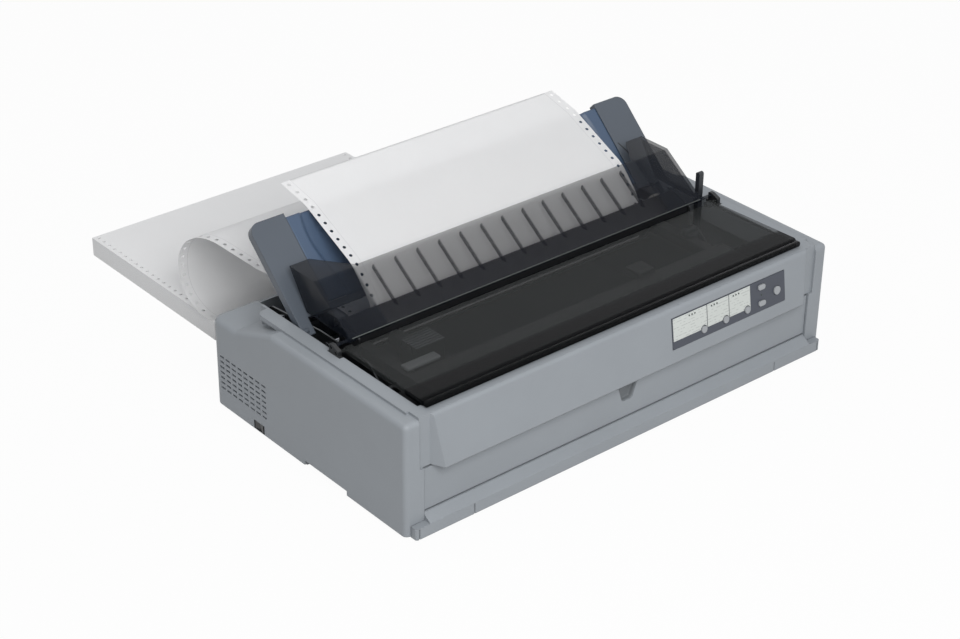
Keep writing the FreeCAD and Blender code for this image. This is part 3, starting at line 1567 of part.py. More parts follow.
def platen():
    centre = (S.platen_y, S.platen_z)
    core = rod("platen_core", "X", centre, (-platen_half, platen_half), S.platen_radius)
    bore = rod("platen_core_bore", "X", centre, (-platen_half - over, platen_half + over), S.shaft_radius)
    keep("platen_roller", cut("platen_roller_body", core, bore))
    knob_left = half + S.knob_gap
    keep("platen_shaft", group("platen_shaft_group", [
        rod("platen_rod", "X", centre, (-frame_outer - S.gear_offset, knob_left + S.knob_width / 2),
            S.shaft_radius)]))
    grip = turn("knob_form", centre, [
        (knob_left, S.shaft_radius),
        (knob_left, S.knob_radius - S.knob_flute / 2),
        (knob_left + S.knob_width / 6, S.knob_radius),
        (knob_left + S.knob_width, S.knob_radius - S.knob_flute / 2, S.knob_flute),
        (knob_left + S.knob_width, S.knob_radius / 2),
        (knob_left + S.knob_width / 2, S.knob_radius / 2 - S.knob_flute),
        (knob_left + S.knob_width / 2, S.shaft_radius),
    ])
    flutes = []
    for index in range(KNOB_FLUTES):
        angle = math.radians(360.0 / KNOB_FLUTES * index)
        spot = (S.platen_y + S.knob_radius * math.cos(angle), S.platen_z + S.knob_radius * math.sin(angle))
        flutes.append(rod("knob_flute", "X", spot, (knob_left - over, knob_left + S.knob_width + over),
                          S.knob_flute / 2))
    keep("platen_knob", cut("platen_knob_body", grip, *flutes))


# Tractors

def tractor_shaft():
    centre = (tractor_y, tractor_z)
    side = S.square_shaft / 2
    square = box("square_bar", (-frame_inner + S.seam_gap, frame_inner - S.seam_gap),
                 (tractor_y - side, tractor_y + side), (tractor_z - side, tractor_z + side))
    journals = [
        rod("tractor_journal", "X", centre, span, S.shaft_radius)
        for span in ((-frame_outer - S.gear_offset, -frame_inner + over),
                     (frame_inner - over, frame_outer + S.gear_offset + S.gear_width))
    ]
    bar = common("square_in_round", square,
                 rod("square_round", "X", centre, (-frame_inner, frame_inner),
                     S.square_shaft * SQUARE_ROUND_SHARE))
    return keep("tractor_shaft", fuse("tractor_shaft_body", bar, *journals))


def sprocket(label, x):
    """A ten-pin wheel that the square shaft drives and slides through."""
    centre = (tractor_y, tractor_z)
    span = (x - S.sprocket_width / 2, x + S.sprocket_width / 2)
    radius = sprocket_radius()
    wheel = rod(label + "_rim", "X", centre, span, radius - S.seam_gap)
    side = S.square_shaft / 2 + S.seam_gap
    bore = box(label + "_bore", (x - S.sprocket_width, x + S.sprocket_width),
               (tractor_y - side, tractor_y + side), (tractor_z - side, tractor_z + side))
    shape_pins = []
    for index in range(SPROCKET_PINS):
        angle = 360.0 / SPROCKET_PINS * index + 90.0
        way = FreeCAD.Vector(0, math.cos(math.radians(angle)), math.sin(math.radians(angle)))
        foot = FreeCAD.Vector(x.value, tractor_y.value, tractor_z.value)
        foot += way * (radius.value - S.sprocket_pin_height.value)
        shape_pins.append(shaped(label + "_pin", Part.makeCone(
            S.sprocket_pin_radius.value, S.sprocket_pin_radius.value / 2,
            S.sprocket_pin_height.value * 2, foot, way)))
    return keep(label, fuse(label + "_body", cut(label + "_wheel", wheel, bore), *shape_pins))


def gate_axis(x, outward):
    """The hinge line of a tractor's gate, as (X, Z)."""
    lid_low = tractor_z + sprocket_radius() + S.sprocket_pin_height + S.clear_gap
    return (x + outward * (S.tractor_width / 2 + S.gate_barrel_radius * 2), lid_low + S.gate_thickness / 2)


def across(x, outward, near_side, far_side):
    """A span along X on the outward side of x, low end first."""
    ends = (x + outward * near_side, x + outward * far_side)
    return ends if outward > 0 else (ends[1], ends[0])


def tractor(label, x, outward):
    """The housing that carries a sprocket along the rail, with ears for its gate."""
    width = S.tractor_width / 2
    low = rail_z - S.rail_radius * 2
    top = tractor_z + sprocket_radius() - S.paper_gap * 2
    ahead = tractor_y - S.gate_length / 2
    behind = tractor_y + S.gate_length / 2 + S.case_wall
    block = extrude(label + "_block", "YZ", [
        (ahead, low + S.tractor_width / 2, S.case_wall),
        (tractor_y, low, S.case_wall),
        (rail_y + S.rail_radius * 2, low, S.case_wall),
        (rail_y + S.rail_radius * 2, rail_z + S.rail_radius * 2, S.case_wall),
        (behind, tractor_z),
        (behind, top, S.case_wall),
        (ahead, top, S.case_wall),
    ], x - width, x + width)
    hinge_x, hinge_z = gate_axis(x, outward)
    reach = hinge_x - x if outward > 0 else x - hinge_x
    head = S.gate_barrel_radius * 3 / 2
    ears = []
    for span in ((ahead, ahead + S.gate_ear), (ahead + S.gate_length - S.gate_ear, ahead + S.gate_length)):
        ears.append(box(label + "_ear_root", across(x, outward, width - over, reach + head), span,
                        (top - S.gate_ear * 2, top)))
        ears.append(box(label + "_ear_post", across(x, outward, reach - head, reach + head), span,
                        (top - over, hinge_z)))
        ears.append(rod(label + "_ear_head", "Y", (hinge_x, hinge_z), span, head))
    well = rod(label + "_well", "X", (tractor_y, tractor_z),
               (x - S.sprocket_width / 2 - S.seam_gap, x + S.sprocket_width / 2 + S.seam_gap),
               sprocket_radius() + S.sprocket_pin_height * 2)
    bore = rod(label + "_bore", "X", (tractor_y, tractor_z), (x - width - over, x + width + over),
               S.square_shaft * SQUARE_ROUND_SHARE + S.seam_gap)
    slide = rod(label + "_slide", "X", (rail_y, rail_z), (x - width - over, x + width + over),
                S.rail_radius + S.run_gap)
    pin_hole = rod(label + "_pin_hole", "Y", (hinge_x, hinge_z), (ahead - over, ahead + S.gate_length + over),
                   S.gate_barrel_radius / 2 + S.run_gap)
    solid = fuse(label + "_solid", block, *ears)
    return keep(label, cut(label + "_body", solid, well, bore, slide, pin_hole))


def tractor_gate(label, x, outward):
    """The hinged lid that holds the paper's edge on the pins."""
    width = S.tractor_width / 2
    hinge_x, hinge_z = gate_axis(x, outward)
    reach = hinge_x - x if outward > 0 else x - hinge_x
    ahead = tractor_y - S.gate_length / 2
    levels = (hinge_z - S.gate_thickness / 2, hinge_z + S.gate_thickness / 2)
    knuckle = (ahead + S.gate_ear + S.seam_gap, ahead + S.gate_length - S.gate_ear - S.seam_gap)
    lid = box(label + "_lid", (x - width, x + width), (ahead, ahead + S.gate_length), levels)
    flap = box(label + "_flap", across(x, outward, width - over, reach), knuckle, levels)
    barrel = rod(label + "_barrel", "Y", (hinge_x, hinge_z), knuckle, S.gate_barrel_radius)
    pin = rod(label + "_pin", "Y", (hinge_x, hinge_z), (ahead, ahead + S.gate_length),
              S.gate_barrel_radius / 2)
    return keep(label, fuse(label + "_body", lid, flap, barrel, pin))


# Carriage

def carriage():
    x = carriage_home
    side = S.carriage_width / 2
    top = S.ribbon_bottom - S.case_wall * 2
    low = carriage_shaft_z - S.carriage_shaft_radius * 2
    block = extrude("carriage_block", "YZ", [
        (S.belt_y + S.belt_width, top),
        (S.belt_y + S.belt_width, low + S.case_wall, S.case_wall),
        (carriage_shaft_y + S.carriage_shaft_radius * 2, low, S.case_wall),
        (carriage_shaft_y + S.carriage_shaft_radius * 2, top - S.case_wall, S.case_wall),
        (carriage_shaft_y + S.carriage_shaft_radius, top),
    ], x - side, x + side)
    rail_top = carriage_shaft_z + S.carriage_shaft_radius
    foot = box("carriage_foot", (x - side / 2, x + side / 2),
               (S.rail_front_y - S.case_wall, S.belt_y + S.belt_width + over),
               (rail_top + S.seam_gap + S.belt_thickness * 4, top))
    bore = rod("carriage_slide", "X", (carriage_shaft_y, carriage_shaft_z),
               (x - side - over, x + side + over),
               S.carriage_shaft_radius + S.run_gap)
    return keep("carriage", cut("carriage_body", fuse("carriage_solid", block, foot), bore))


def print_head():
    x = carriage_home
    side = S.head_width / 2
    low = S.ribbon_bottom - S.case_wall * 2
    nose_y = page_face_y - S.paper_gap * 4
    body = box("head_body", (x - side, x + side), (carriage_shaft_y - side, carriage_shaft_y + S.head_nose),
               (low, S.head_top))
    nose = extrude("head_nose", "XY", [
        (x - side * HEAD_NOSE_SHARE, carriage_shaft_y), (x + side * HEAD_NOSE_SHARE, carriage_shaft_y),
        (x + S.head_nose / 2, nose_y), (x - S.head_nose / 2, nose_y),
    ], low, low + S.ribbon_height + S.case_wall)
    fins = []
    fin_pitch = S.case_wall * FIN_PITCH_SHARE
    for index in range(HEAD_FINS):
        y = carriage_shaft_y - side + S.case_wall + fin_pitch * index
        fins.append(box("head_fin_gap", (x - side - over, x + side + over),
                        (y, y + S.case_wall * FIN_GAP_SHARE),
                        (S.head_top - S.head_nose, S.head_top + over)))
    return keep("print_head", fuse("print_head_body", cut("head_finned", body, *fins), nose))


def carriage_drive():
    """The belt loop with its motor pulley on the left and its idler on the right."""
    middle = carriage_shaft_z
    radius = S.pulley_radius
    span = (S.belt_y - S.belt_width / 2, S.belt_y + S.belt_width / 2)

    def loop(name, ring, levels):
        ends = [rod(name + "_end", "Y", (x, middle), levels, ring) for x in (-pulley_x, pulley_x)]
        run = box(name + "_run", (-pulley_x, pulley_x), levels, (middle - ring, middle + ring))
        return fuse(name, run, *ends)

    outer_ring = radius + S.belt_thickness + S.run_gap
    inside = (span[0] - over, span[1] + over)
    keep("carriage_belt", cut("belt_band", loop("belt_outer", outer_ring - fit_slack, span),
                              loop("belt_inner", radius + S.run_gap - fit_slack, inside)))
    for label, x in (("motor_pulley", -pulley_x), ("idler_pulley", pulley_x)):
        wheel = rod(label + "_wheel", "Y", (x, middle),
                    (span[0] - S.case_wall / 3, span[1] + S.case_wall / 3), radius)
        bore = rod(label + "_bore", "Y", (x, middle), inside, S.screw_radius)
        keep(label, cut(label + "_body", wheel, bore))
    motor_back = span[0] - S.case_wall
    can = rod("carriage_can", "Y", (-pulley_x, middle), (motor_back - S.carriage_motor_length, motor_back),
              S.carriage_motor_radius)
    spindle = rod("carriage_spindle", "Y", (-pulley_x, middle), (motor_back, span[1] + S.case_wall / 3),
                  S.screw_radius - S.run_gap)
    foot = box("motor_foot", (-pulley_x - S.case_wall, -pulley_x + S.case_wall),
               (motor_back - S.carriage_motor_length, motor_back),
               (S.tray_bottom + S.tray_thickness, middle))
    keep("carriage_motor", fuse("carriage_motor_body", can, spindle, foot))


# Ribbon cartridge

def ribbon_cartridge():
    body = extrude("ribbon_body", "XY", [
        (-ribbon_half, S.ribbon_front, S.case_wall * 2), (ribbon_half, S.ribbon_front, S.case_wall * 2),
        (ribbon_half, S.ribbon_rear), (-ribbon_half, S.ribbon_rear),
    ], S.ribbon_bottom, S.ribbon_top)
    arms = [
        extrude("ribbon_arm", "XY", [
            (sign * ribbon_arm_inner, S.ribbon_rear - over),
            (sign * (ribbon_arm_inner + S.ribbon_arm_width), S.ribbon_rear - over),
            (sign * (ribbon_arm_inner + S.ribbon_arm_width), page_face_y - S.ribbon_arm_width / 2),
            (sign * (ribbon_arm_inner + S.case_wall), page_face_y),
            (sign * ribbon_arm_inner, page_face_y),
        ], S.ribbon_bottom, S.ribbon_bottom + S.ribbon_height)
        for sign in (-1, 1)
    ]
    lobe = rod("ribbon_lobe", "Z", ribbon_knob_place(), (S.ribbon_bottom, S.ribbon_bottom + S.ribbon_height),
               S.ribbon_knob_radius)
    return keep("ribbon_cartridge", fuse("ribbon_cartridge_body", body, lobe, *arms))


def ribbon_knob_place():
    return (ribbon_arm_inner + S.ribbon_arm_width, S.ribbon_knob_y)


def ink_ribbon():
    back = page_face_y - S.paper_gap
    return keep("ink_ribbon", group("ink_ribbon_group", [
        box("ribbon_strip", (-ribbon_arm_inner + S.run_gap, ribbon_arm_inner - S.run_gap),
            (back - S.paper_thickness, back),
            (S.ribbon_bottom, S.ribbon_bottom + S.ribbon_height))]))


def ribbon_knob():
    """The thumb knob that takes up slack ribbon, with a grip bar across its top."""
    x, y = ribbon_knob_place()
    radius = S.ribbon_knob_radius
    low = S.ribbon_bottom + S.ribbon_height + S.seam_gap
    top = low + S.ribbon_knob_height
    disc = rod("knob_disc", "Z", (x, y), (low, low + S.ribbon_knob_height / 3), radius)
    bar = common("knob_grip",
                 box("knob_bar", (x - radius, x + radius), (y - radius / 4, y + radius / 4), (low, top)),
                 rod("knob_limit", "Z", (x, y), (low, top), radius))
    return keep("ribbon_knob", fuse("ribbon_knob_body", disc, bar))


# Levers and electronics

def release_lever():
    side = S.lever_width / 2
    deep = S.lever_depth / 2
    post = extrude("lever_post", "YZ", [
        (S.lever_y - deep, S.lever_pivot_z - S.lever_depth),
        (S.lever_y + deep, S.lever_pivot_z - S.lever_depth),
        (S.lever_y + deep, S.lever_top, deep * LEVER_ROUND_SHARE),
        (S.lever_y - deep, S.lever_top, deep * LEVER_ROUND_SHARE),
    ], lever_x - side, lever_x + side)
    pin = rod("lever_pin", "X", (S.lever_y, S.lever_pivot_z), (frame_inner, lever_x), S.rail_radius)
    return keep("release_lever", fuse("release_lever_body", post, pin))


def electronics():
    low = S.tray_bottom + S.tray_thickness
    board = box("board_plate", (board_left, board_right), (S.board_front, S.board_rear),
                (low + S.board_height / 2, low + S.board_height / 2 + S.board_thickness))
    stands = [
        rod("board_stand", "Z", (x, y), (low, low + S.board_height / 2), S.screw_radius * PILLAR_SHARE)
        for x in (board_left + S.tray_fold, board_right - S.tray_fold)
        for y in (S.board_front + S.tray_fold, S.board_rear - S.tray_fold)
    ]
    top = low + S.board_height / 2 + S.board_thickness
    chips = []
    for index in range(BOARD_CHIPS):
        chip_left = board_left + S.chip_first + S.chip_pitch * index
        chips.append(box("board_chip", (chip_left, chip_left + S.chip_width),
                         (S.board_front + S.chip_width, S.board_front + S.chip_width * 2),
                         (top, top + S.case_wall)))
    keep("main_board", fuse("main_board_body", board, *(stands + chips)))
    supply = box("supply_box", (supply_left, supply_right), (S.supply_front, S.supply_rear),
                 (low, low + S.supply_height))
    keep("power_supply", group("power_supply_group", [supply]))
    inside = rear - S.case_wall
    reach = S.inlet_width / 2 - S.seam_gap
    inlet = box("inlet_shell", (inlet_x - reach, inlet_x + reach),
                (inside - S.inlet_depth, rear),
               (S.port_z + S.seam_gap, S.port_z + S.inlet_height - S.seam_gap))
    mouth = box("inlet_mouth", (inlet_x - S.inlet_width / 3, inlet_x + S.inlet_width / 3),
                (rear - S.inlet_depth, rear + over),
                (S.port_z + S.inlet_height / 5, S.port_z + S.inlet_height * 4 / 5))
    prongs = [
        box("inlet_prong",
            (inlet_x + S.inlet_width * share - S.clear_gap, inlet_x + S.inlet_width * share + S.clear_gap),
            (rear - S.inlet_depth - over, rear - S.case_wall),
            (S.port_z + S.inlet_height * PRONG_LOW_SHARE, S.port_z + S.inlet_height * PRONG_HIGH_SHARE))
        for share in PRONG_SHARES
    ]
    keep("power_inlet", fuse("power_inlet_body", cut("inlet_hollow", inlet, mouth), *prongs))
    reach = S.port_width / 2 - S.seam_gap
    port = box("port_shell", (port_x - reach, port_x + reach),
               (inside - S.port_depth, rear), (S.port_z + S.seam_gap, S.port_z + S.port_height - S.seam_gap))
    slot = box("port_slot", (port_x - S.port_width / 3, port_x + S.port_width / 3),
               (rear - S.port_depth, rear + over),
               (S.port_z + S.port_height / 3, S.port_z + S.port_height * 2 / 3))
    keep("parallel_port", cut("parallel_port_body", port, slot))


def power_rocker():
    """The mains switch's key: two sloping faces on a barrel that turns in the base."""
    low = S.switch_front + S.rocker_room
    high = S.switch_rear - S.rocker_room
    levels = (S.switch_bottom + S.seam_gap, S.switch_top - S.seam_gap)
    middle = (S.switch_front + S.switch_rear) / 2
    inside = -half + S.case_wall + S.clear_gap * 2
    key = extrude("rocker_key", "XY", [
        (inside, low), (inside, high), (-half + S.clear_gap, high),
        (-half + S.clear_gap * 3, middle), (-half - S.clear_gap, low),
    ], *levels)
    barrel = rod("rocker_barrel", "Z", (-half + S.rocker_depth, middle), levels, S.rocker_barrel)
    return keep("power_rocker", fuse("power_rocker_body", key, barrel))


def build():
    upper_case()
    lower_case()
    rubber_feet()
    case_screws()
    front_door()
    printer_cover()
    paper_hood()
    sheet_guide_frame()
    sheet_guide_panel()
    edge_guide("left_edge_guide", -S.edge_guide_x)
    edge_guide("right_edge_guide", S.edge_guide_x)
    control_panel()
    buttons()
    panel_labels()
    indicator_lights()
    chassis_tray()
    side_frames()
    cross_rods()
    continuous_paper()
    paper_stack()
    paper_guide()
    paper_drive()
    feed_motor()
    platen()
    tractor_shaft()
    for side, name in ((-1, "left"), (1, "right")):
        x = side * hole_line()
        sprocket(name + "_sprocket", x)
        tractor(name + "_tractor", x, side)
        tractor_gate(name + "_tractor_gate", x, side)
    carriage()
    print_head()
    carriage_drive()
    ribbon_cartridge()
    ink_ribbon()
    ribbon_knob()
    release_lever()
    electronics()
    power_rocker()


def export():
    """Stops on any failed object, then writes each piece under its label."""
    doc.recompute()
    for thing in doc.Objects:
        if "Invalid" in thing.State or "Error" in thing.State:
            raise RuntimeError("%s failed: %s" % (thing.Name, thing.State))
    os.makedirs("parts", exist_ok=True)
    for piece in PARTS:
        shape = piece.Shape
        if shape.isNull() or not shape.isValid() or not shape.Solids:
            raise RuntimeError("%s has no valid solid" % piece.Label)
        shape.exportStep(os.path.join("parts", piece.Label + ".step"))
        print("%-22s solids %d volume %.0f" % (piece.Label, len(shape.Solids), shape.Volume))
    print(len(PARTS), "pieces")


build()
export()
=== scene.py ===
# A wide dot matrix printer: the finishes of its solids, its fan-fold paper, guide plate and small trim

import bpy
import bmesh
import json
import math
from mathutils import Matrix, Vector


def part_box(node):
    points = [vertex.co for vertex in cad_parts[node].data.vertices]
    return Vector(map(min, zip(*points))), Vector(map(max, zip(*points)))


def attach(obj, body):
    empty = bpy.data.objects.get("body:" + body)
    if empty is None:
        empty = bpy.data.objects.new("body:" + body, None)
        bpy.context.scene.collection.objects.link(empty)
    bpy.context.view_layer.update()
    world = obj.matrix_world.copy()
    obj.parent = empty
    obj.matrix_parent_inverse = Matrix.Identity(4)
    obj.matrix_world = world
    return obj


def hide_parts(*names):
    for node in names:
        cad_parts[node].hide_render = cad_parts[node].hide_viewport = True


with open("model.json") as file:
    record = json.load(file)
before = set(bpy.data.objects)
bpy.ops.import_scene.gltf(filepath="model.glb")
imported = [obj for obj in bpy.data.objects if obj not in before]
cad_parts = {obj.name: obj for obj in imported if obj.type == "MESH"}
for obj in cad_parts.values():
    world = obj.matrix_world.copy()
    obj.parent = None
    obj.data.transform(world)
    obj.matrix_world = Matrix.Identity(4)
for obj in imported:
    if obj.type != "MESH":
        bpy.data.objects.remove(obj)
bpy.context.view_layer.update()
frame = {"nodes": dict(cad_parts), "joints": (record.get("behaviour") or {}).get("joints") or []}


# Camera, fitted to the photograph

YAW, PITCH, ROLL = math.radians(40.43), math.radians(29.94), math.radians(0.67)
CAMERA_PLACE = Vector((-1.4286, -1.5915, 1.3062))
LENS, SENSOR, FARTHEST = 80.02, 36.0, 50.0


def photo_camera():
    """A camera that looks along the yaw and pitch, then leans by the roll."""
    forward = Vector((math.sin(YAW) * math.cos(PITCH), math.cos(YAW) * math.cos(PITCH), -math.sin(PITCH)))
    level = Vector((math.cos(YAW), -math.sin(YAW), 0.0))
    lift = level.cross(forward)
    right = math.cos(ROLL) * level + math.sin(ROLL) * lift
    up = -math.sin(ROLL) * level + math.cos(ROLL) * lift
    data = bpy.data.cameras.new("camera")
    data.lens = LENS
    data.sensor_width = SENSOR
    data.clip_end = FARTHEST
    camera = bpy.data.objects.new("camera", data)
    turned = Matrix((right, up, -forward)).transposed()
    camera.matrix_world = Matrix.Translation(CAMERA_PLACE) @ turned.to_4x4()
    bpy.context.scene.collection.objects.link(camera)
    bpy.context.scene.camera = camera


photo_camera()
bpy.context.scene.view_settings.view_transform = "Standard"


# Steps that the materials' nodes share

def linear(red, green, blue):
    """Screen values out of 255 as the linear colour that a shader takes."""
    def channel(value):
        share = value / 255
        return ((share + 0.055) / 1.055) ** 2.4 if share > 0.04045 else share / 12.92

    return channel(red), channel(green), channel(blue), 1.0


def step(tree, kind, *terms):
    """One step of arithmetic on sockets or plain numbers."""
    node = tree.nodes.new("ShaderNodeMath")
    node.operation = kind
    for socket, term in zip(node.inputs, terms):
        if isinstance(term, float):
            socket.default_value = term
        else:
            tree.links.new(term, socket)
    return node.outputs[0]


def product(tree, *terms):
    """All the terms multiplied: for masks, the place that they share."""
    result = terms[0]
    for term in terms[1:]:
        result = step(tree, "MULTIPLY", result, term)
    return result


def between(tree, value, least, most):
    """One where the value lies between two numbers."""
    return product(tree, step(tree, "GREATER_THAN", value, least), step(tree, "LESS_THAN", value, most))


def from_nearest(tree, value, pitch):
    """How far the value is from a whole number of pitches, in pitches."""
    turns = step(tree, "DIVIDE", value, pitch)
    return step(tree, "ABSOLUTE", step(tree, "SUBTRACT", turns, step(tree, "ROUND", turns)))


def ruled(tree, value, pitch, share):
    """One over the first share of every pitch."""
    return step(tree, "LESS_THAN", step(tree, "FRACT", step(tree, "DIVIDE", value, pitch)), share)


def ramp(tree, value, start, end, low=0.0, high=1.0):
    """Goes from low at the start to high at the end."""
    node = tree.nodes.new("ShaderNodeMapRange")
    for name, number in (("From Min", start), ("From Max", end), ("To Min", low), ("To Max", high)):
        node.inputs[name].default_value = number
    tree.links.new(value, node.inputs["Value"])
    return node.outputs["Result"]


def place_axes(tree):
    """The X, Y and Z of a point on the piece, in metres."""
    where = tree.nodes.new("ShaderNodeTexCoord")
    axes = tree.nodes.new("ShaderNodeSeparateXYZ")
    tree.links.new(where.outputs["Object"], axes.inputs[0])
    return axes.outputs


def noise(tree, scale, detail):
    """Noise over the piece, at so many turns to the metre."""
    where = tree.nodes.new("ShaderNodeTexCoord")
    node = tree.nodes.new("ShaderNodeTexNoise")
    node.inputs["Scale"].default_value = scale
    node.inputs["Detail"].default_value = detail
    tree.links.new(where.outputs["Object"], node.inputs["Vector"])
    return node


def seen_directly(tree):
    """One for what the camera sees, also in a gloss or through a clear cover."""
    path = tree.nodes.new("ShaderNodeLightPath")
    seen = step(tree, "MAXIMUM", path.outputs["Is Camera Ray"], path.outputs["Is Glossy Ray"])
    return step(tree, "MAXIMUM", seen, path.outputs["Is Transmission Ray"])


# Moulded grain: a colour that varies a little, a roughness and a surface height

GRAIN_HEIGHT, GRAIN_DETAIL = 0.0002, 3.0
MOTTLE_SCALE, MOTTLE_DETAIL = 14.0, 4.0
MOTTLE_LOW, MOTTLE_HIGH, MOTTLE_ON_ROUGHNESS = 0.3, 0.7, 0.6


def grain_group():
    tree = bpy.data.node_groups.new("grain", "ShaderNodeTree")
    for side, kind, names in (
        ("INPUT", "Color", ("Color",)),
        ("INPUT", "Float", ("Scale", "Strength", "Roughness", "Mottle")),
        ("INPUT", "Vector", ("Edge",)),
        ("OUTPUT", "Color", ("Color",)),
        ("OUTPUT", "Float", ("Roughness",)),
        ("OUTPUT", "Vector", ("Normal",)),
    ):
        for name in names:
            tree.interface.new_socket(name, in_out=side, socket_type="NodeSocket" + kind)
    link = tree.links.new
    given = tree.nodes.new("NodeGroupInput").outputs
    result = tree.nodes.new("NodeGroupOutput").inputs

    fine = noise(tree, 1.0, GRAIN_DETAIL)
    link(given["Scale"], fine.inputs["Scale"])
    bump = tree.nodes.new("ShaderNodeBump")
    bump.inputs["Distance"].default_value = GRAIN_HEIGHT
    link(given["Strength"], bump.inputs["Strength"])
    link(fine.outputs["Fac"], bump.inputs["Height"])
    link(given["Edge"], bump.inputs["Normal"])
    link(bump.outputs["Normal"], result["Normal"])

    broad = noise(tree, MOTTLE_SCALE, MOTTLE_DETAIL)
    spread = ramp(tree, broad.outputs["Fac"], MOTTLE_LOW, MOTTLE_HIGH, -1.0, 1.0)
    amount = product(tree, spread, given["Mottle"])
    tint = tree.nodes.new("ShaderNodeVectorMath")
    tint.operation = "SCALE"
    link(given["Color"], tint.inputs[0])
    link(step(tree, "ADD", amount, 1.0), tint.inputs["Scale"])
    link(tint.outputs["Vector"], result["Color"])
    link(step(tree, "MULTIPLY_ADD", amount, MOTTLE_ON_ROUGHNESS, given["Roughness"]), result["Roughness"])
    return tree


GRAIN = grain_group()
BEVEL_SAMPLES = 4


def shader_of(mat):
    return mat.node_tree.nodes["Principled BSDF"]


def material(name, colour, roughness, scale, strength, mottle, metal=0.0, edge=0.0008, shine=0.5):
    """A grained finish whose sharp edges catch the light as moulded ones do."""
    mat = bpy.data.materials.new(name)
    mat.use_nodes = True
    tree = mat.node_tree
    group = tree.nodes.new("ShaderNodeGroup")
    group.name = "grain"
    group.node_tree = GRAIN
    for socket, value in (("Color", linear(*colour)), ("Scale", scale), ("Strength", strength),
                          ("Roughness", roughness), ("Mottle", mottle)):
        group.inputs[socket].default_value = value
    rounded = tree.nodes.new("ShaderNodeBevel")
    rounded.samples = BEVEL_SAMPLES
    rounded.inputs["Radius"].default_value = edge
    tree.links.new(rounded.outputs["Normal"], group.inputs["Edge"])
    shader = shader_of(mat)
    for source, target in (("Color", "Base Color"), ("Roughness", "Roughness"), ("Normal", "Normal")):
        tree.links.new(group.outputs[source], shader.inputs[target])
    shader.inputs["Metallic"].default_value = metal
    shader.inputs["Specular IOR Level"].default_value = shine
    return mat


def tinted(mat, mask, colour):
    """Lays a second colour over a finish where the mask is one."""
    tree = mat.node_tree
    mix = tree.nodes.new("ShaderNodeMix")
    mix.data_type = "RGBA"
    mix.inputs["B"].default_value = linear(*colour)
    tree.links.new(mask, mix.inputs["Factor"])
    tree.links.new(tree.nodes["grain"].outputs["Color"], mix.inputs["A"])
    tree.links.new(mix.outputs["Result"], shader_of(mat).inputs["Base Color"])


# Finishes: screen colour, roughness, grain scale and strength, and mottle

CASE = material("case_plastic", (146, 151, 156), 0.5, 1300.0, 0.22, 0.03, edge=0.0016)
GUIDE_ARM = material("guide_plastic", (82, 89, 98), 0.42, 1300.0, 0.15, 0.03, edge=0.0022)
SMOKE = material("smoked_plastic", (54, 56, 56), 0.14, 400.0, 0.004, 0.05, edge=0.0006, shine=0.08)
HOOD = material("smoked_hood", (36, 37, 44), 0.16, 400.0, 0.004, 0.05, edge=0.0006, shine=0.15)
BLUE = material("blue_plate", (70, 88, 112), 0.4, 900.0, 0.1, 0.05)
PANEL = material("panel_plastic", (66, 70, 80), 0.45, 1200.0, 0.08, 0.03)
BUTTON = material("button_plastic", (160, 163, 166), 0.45, 900.0, 0.05, 0.03)
LABEL = material("label_card", (206, 210, 206), 0.5, 300.0, 0.02, 0.02)
LIGHT = material("lamp_lens", (60, 72, 66), 0.25, 300.0, 0.01, 0.02)
DARK = material("dark_plastic", (42, 45, 50), 0.45, 900.0, 0.12, 0.05)
BLACK = material("black_plastic", (26, 27, 29), 0.42, 900.0, 0.12, 0.05)
STEEL = material("steel", (150, 152, 156), 0.28, 500.0, 0.03, 0.05, metal=1.0)
# The zinc parts are painted far darker than bare zinc plate: painted shade, for the shadow they sit in under
# the covers.
SHADED_ZINC = material("zinc_plate_painted_shade", (84, 86, 88), 0.42, 120.0, 0.06, 0.12, metal=1.0)
RUBBER = material("rubber", (38, 38, 39), 0.75, 1500.0, 0.2, 0.05)
GEAR = material("gear_plastic", (200, 199, 192), 0.45, 500.0, 0.03, 0.03)
ALUMINIUM = material("cast_aluminium", (120, 122, 126), 0.4, 700.0, 0.25, 0.08, metal=1.0)
RIBBON = material("ink_fabric", (20, 20, 24), 0.85, 2500.0, 0.5, 0.05)
BOARD = material("board_lacquer", (36, 92, 58), 0.35, 300.0, 0.03, 0.06)
PAPER = material("paper", (248, 248, 248), 0.8, 1200.0, 0.05, 0.01, edge=0.0002)
STACK = material("paper_block", (250, 250, 250), 0.8, 1200.0, 0.05, 0.01, edge=0.0004)
PULL = material("shaded_recess", (112, 116, 119), 0.55, 1300.0, 0.22, 0.03)
WIRE = material("hem_wire", (92, 96, 94), 0.3, 500.0, 0.03, 0.05, metal=1.0)
BELT = material("belt_rubber", (34, 34, 35), 0.7, 1800.0, 0.3, 0.05)
MOTOR = material("motor_paint", (60, 61, 64), 0.4, 500.0, 0.05, 0.05)


# The hood's ribs stand behind its slanted front and read darker than the clear wall, as its ends do

HOOD_FOOT_Y, HOOD_FOOT_Z = -0.012, 0.153
HOOD_RISE, HOOD_RUN, BEHIND_WALL = 0.0435, 0.062, 0.00255
RIB_PITCH, RIB_HALF, ROOF_Z = 0.031, 0.0009, 0.1938
CLEAR_HALF, END_BLEND = 0.207, 0.006
HOOD_ALPHA, RIB_ALPHA, END_ALPHA = 0.28, 0.5, 0.55
HOOD_DARK = (24, 28, 36)


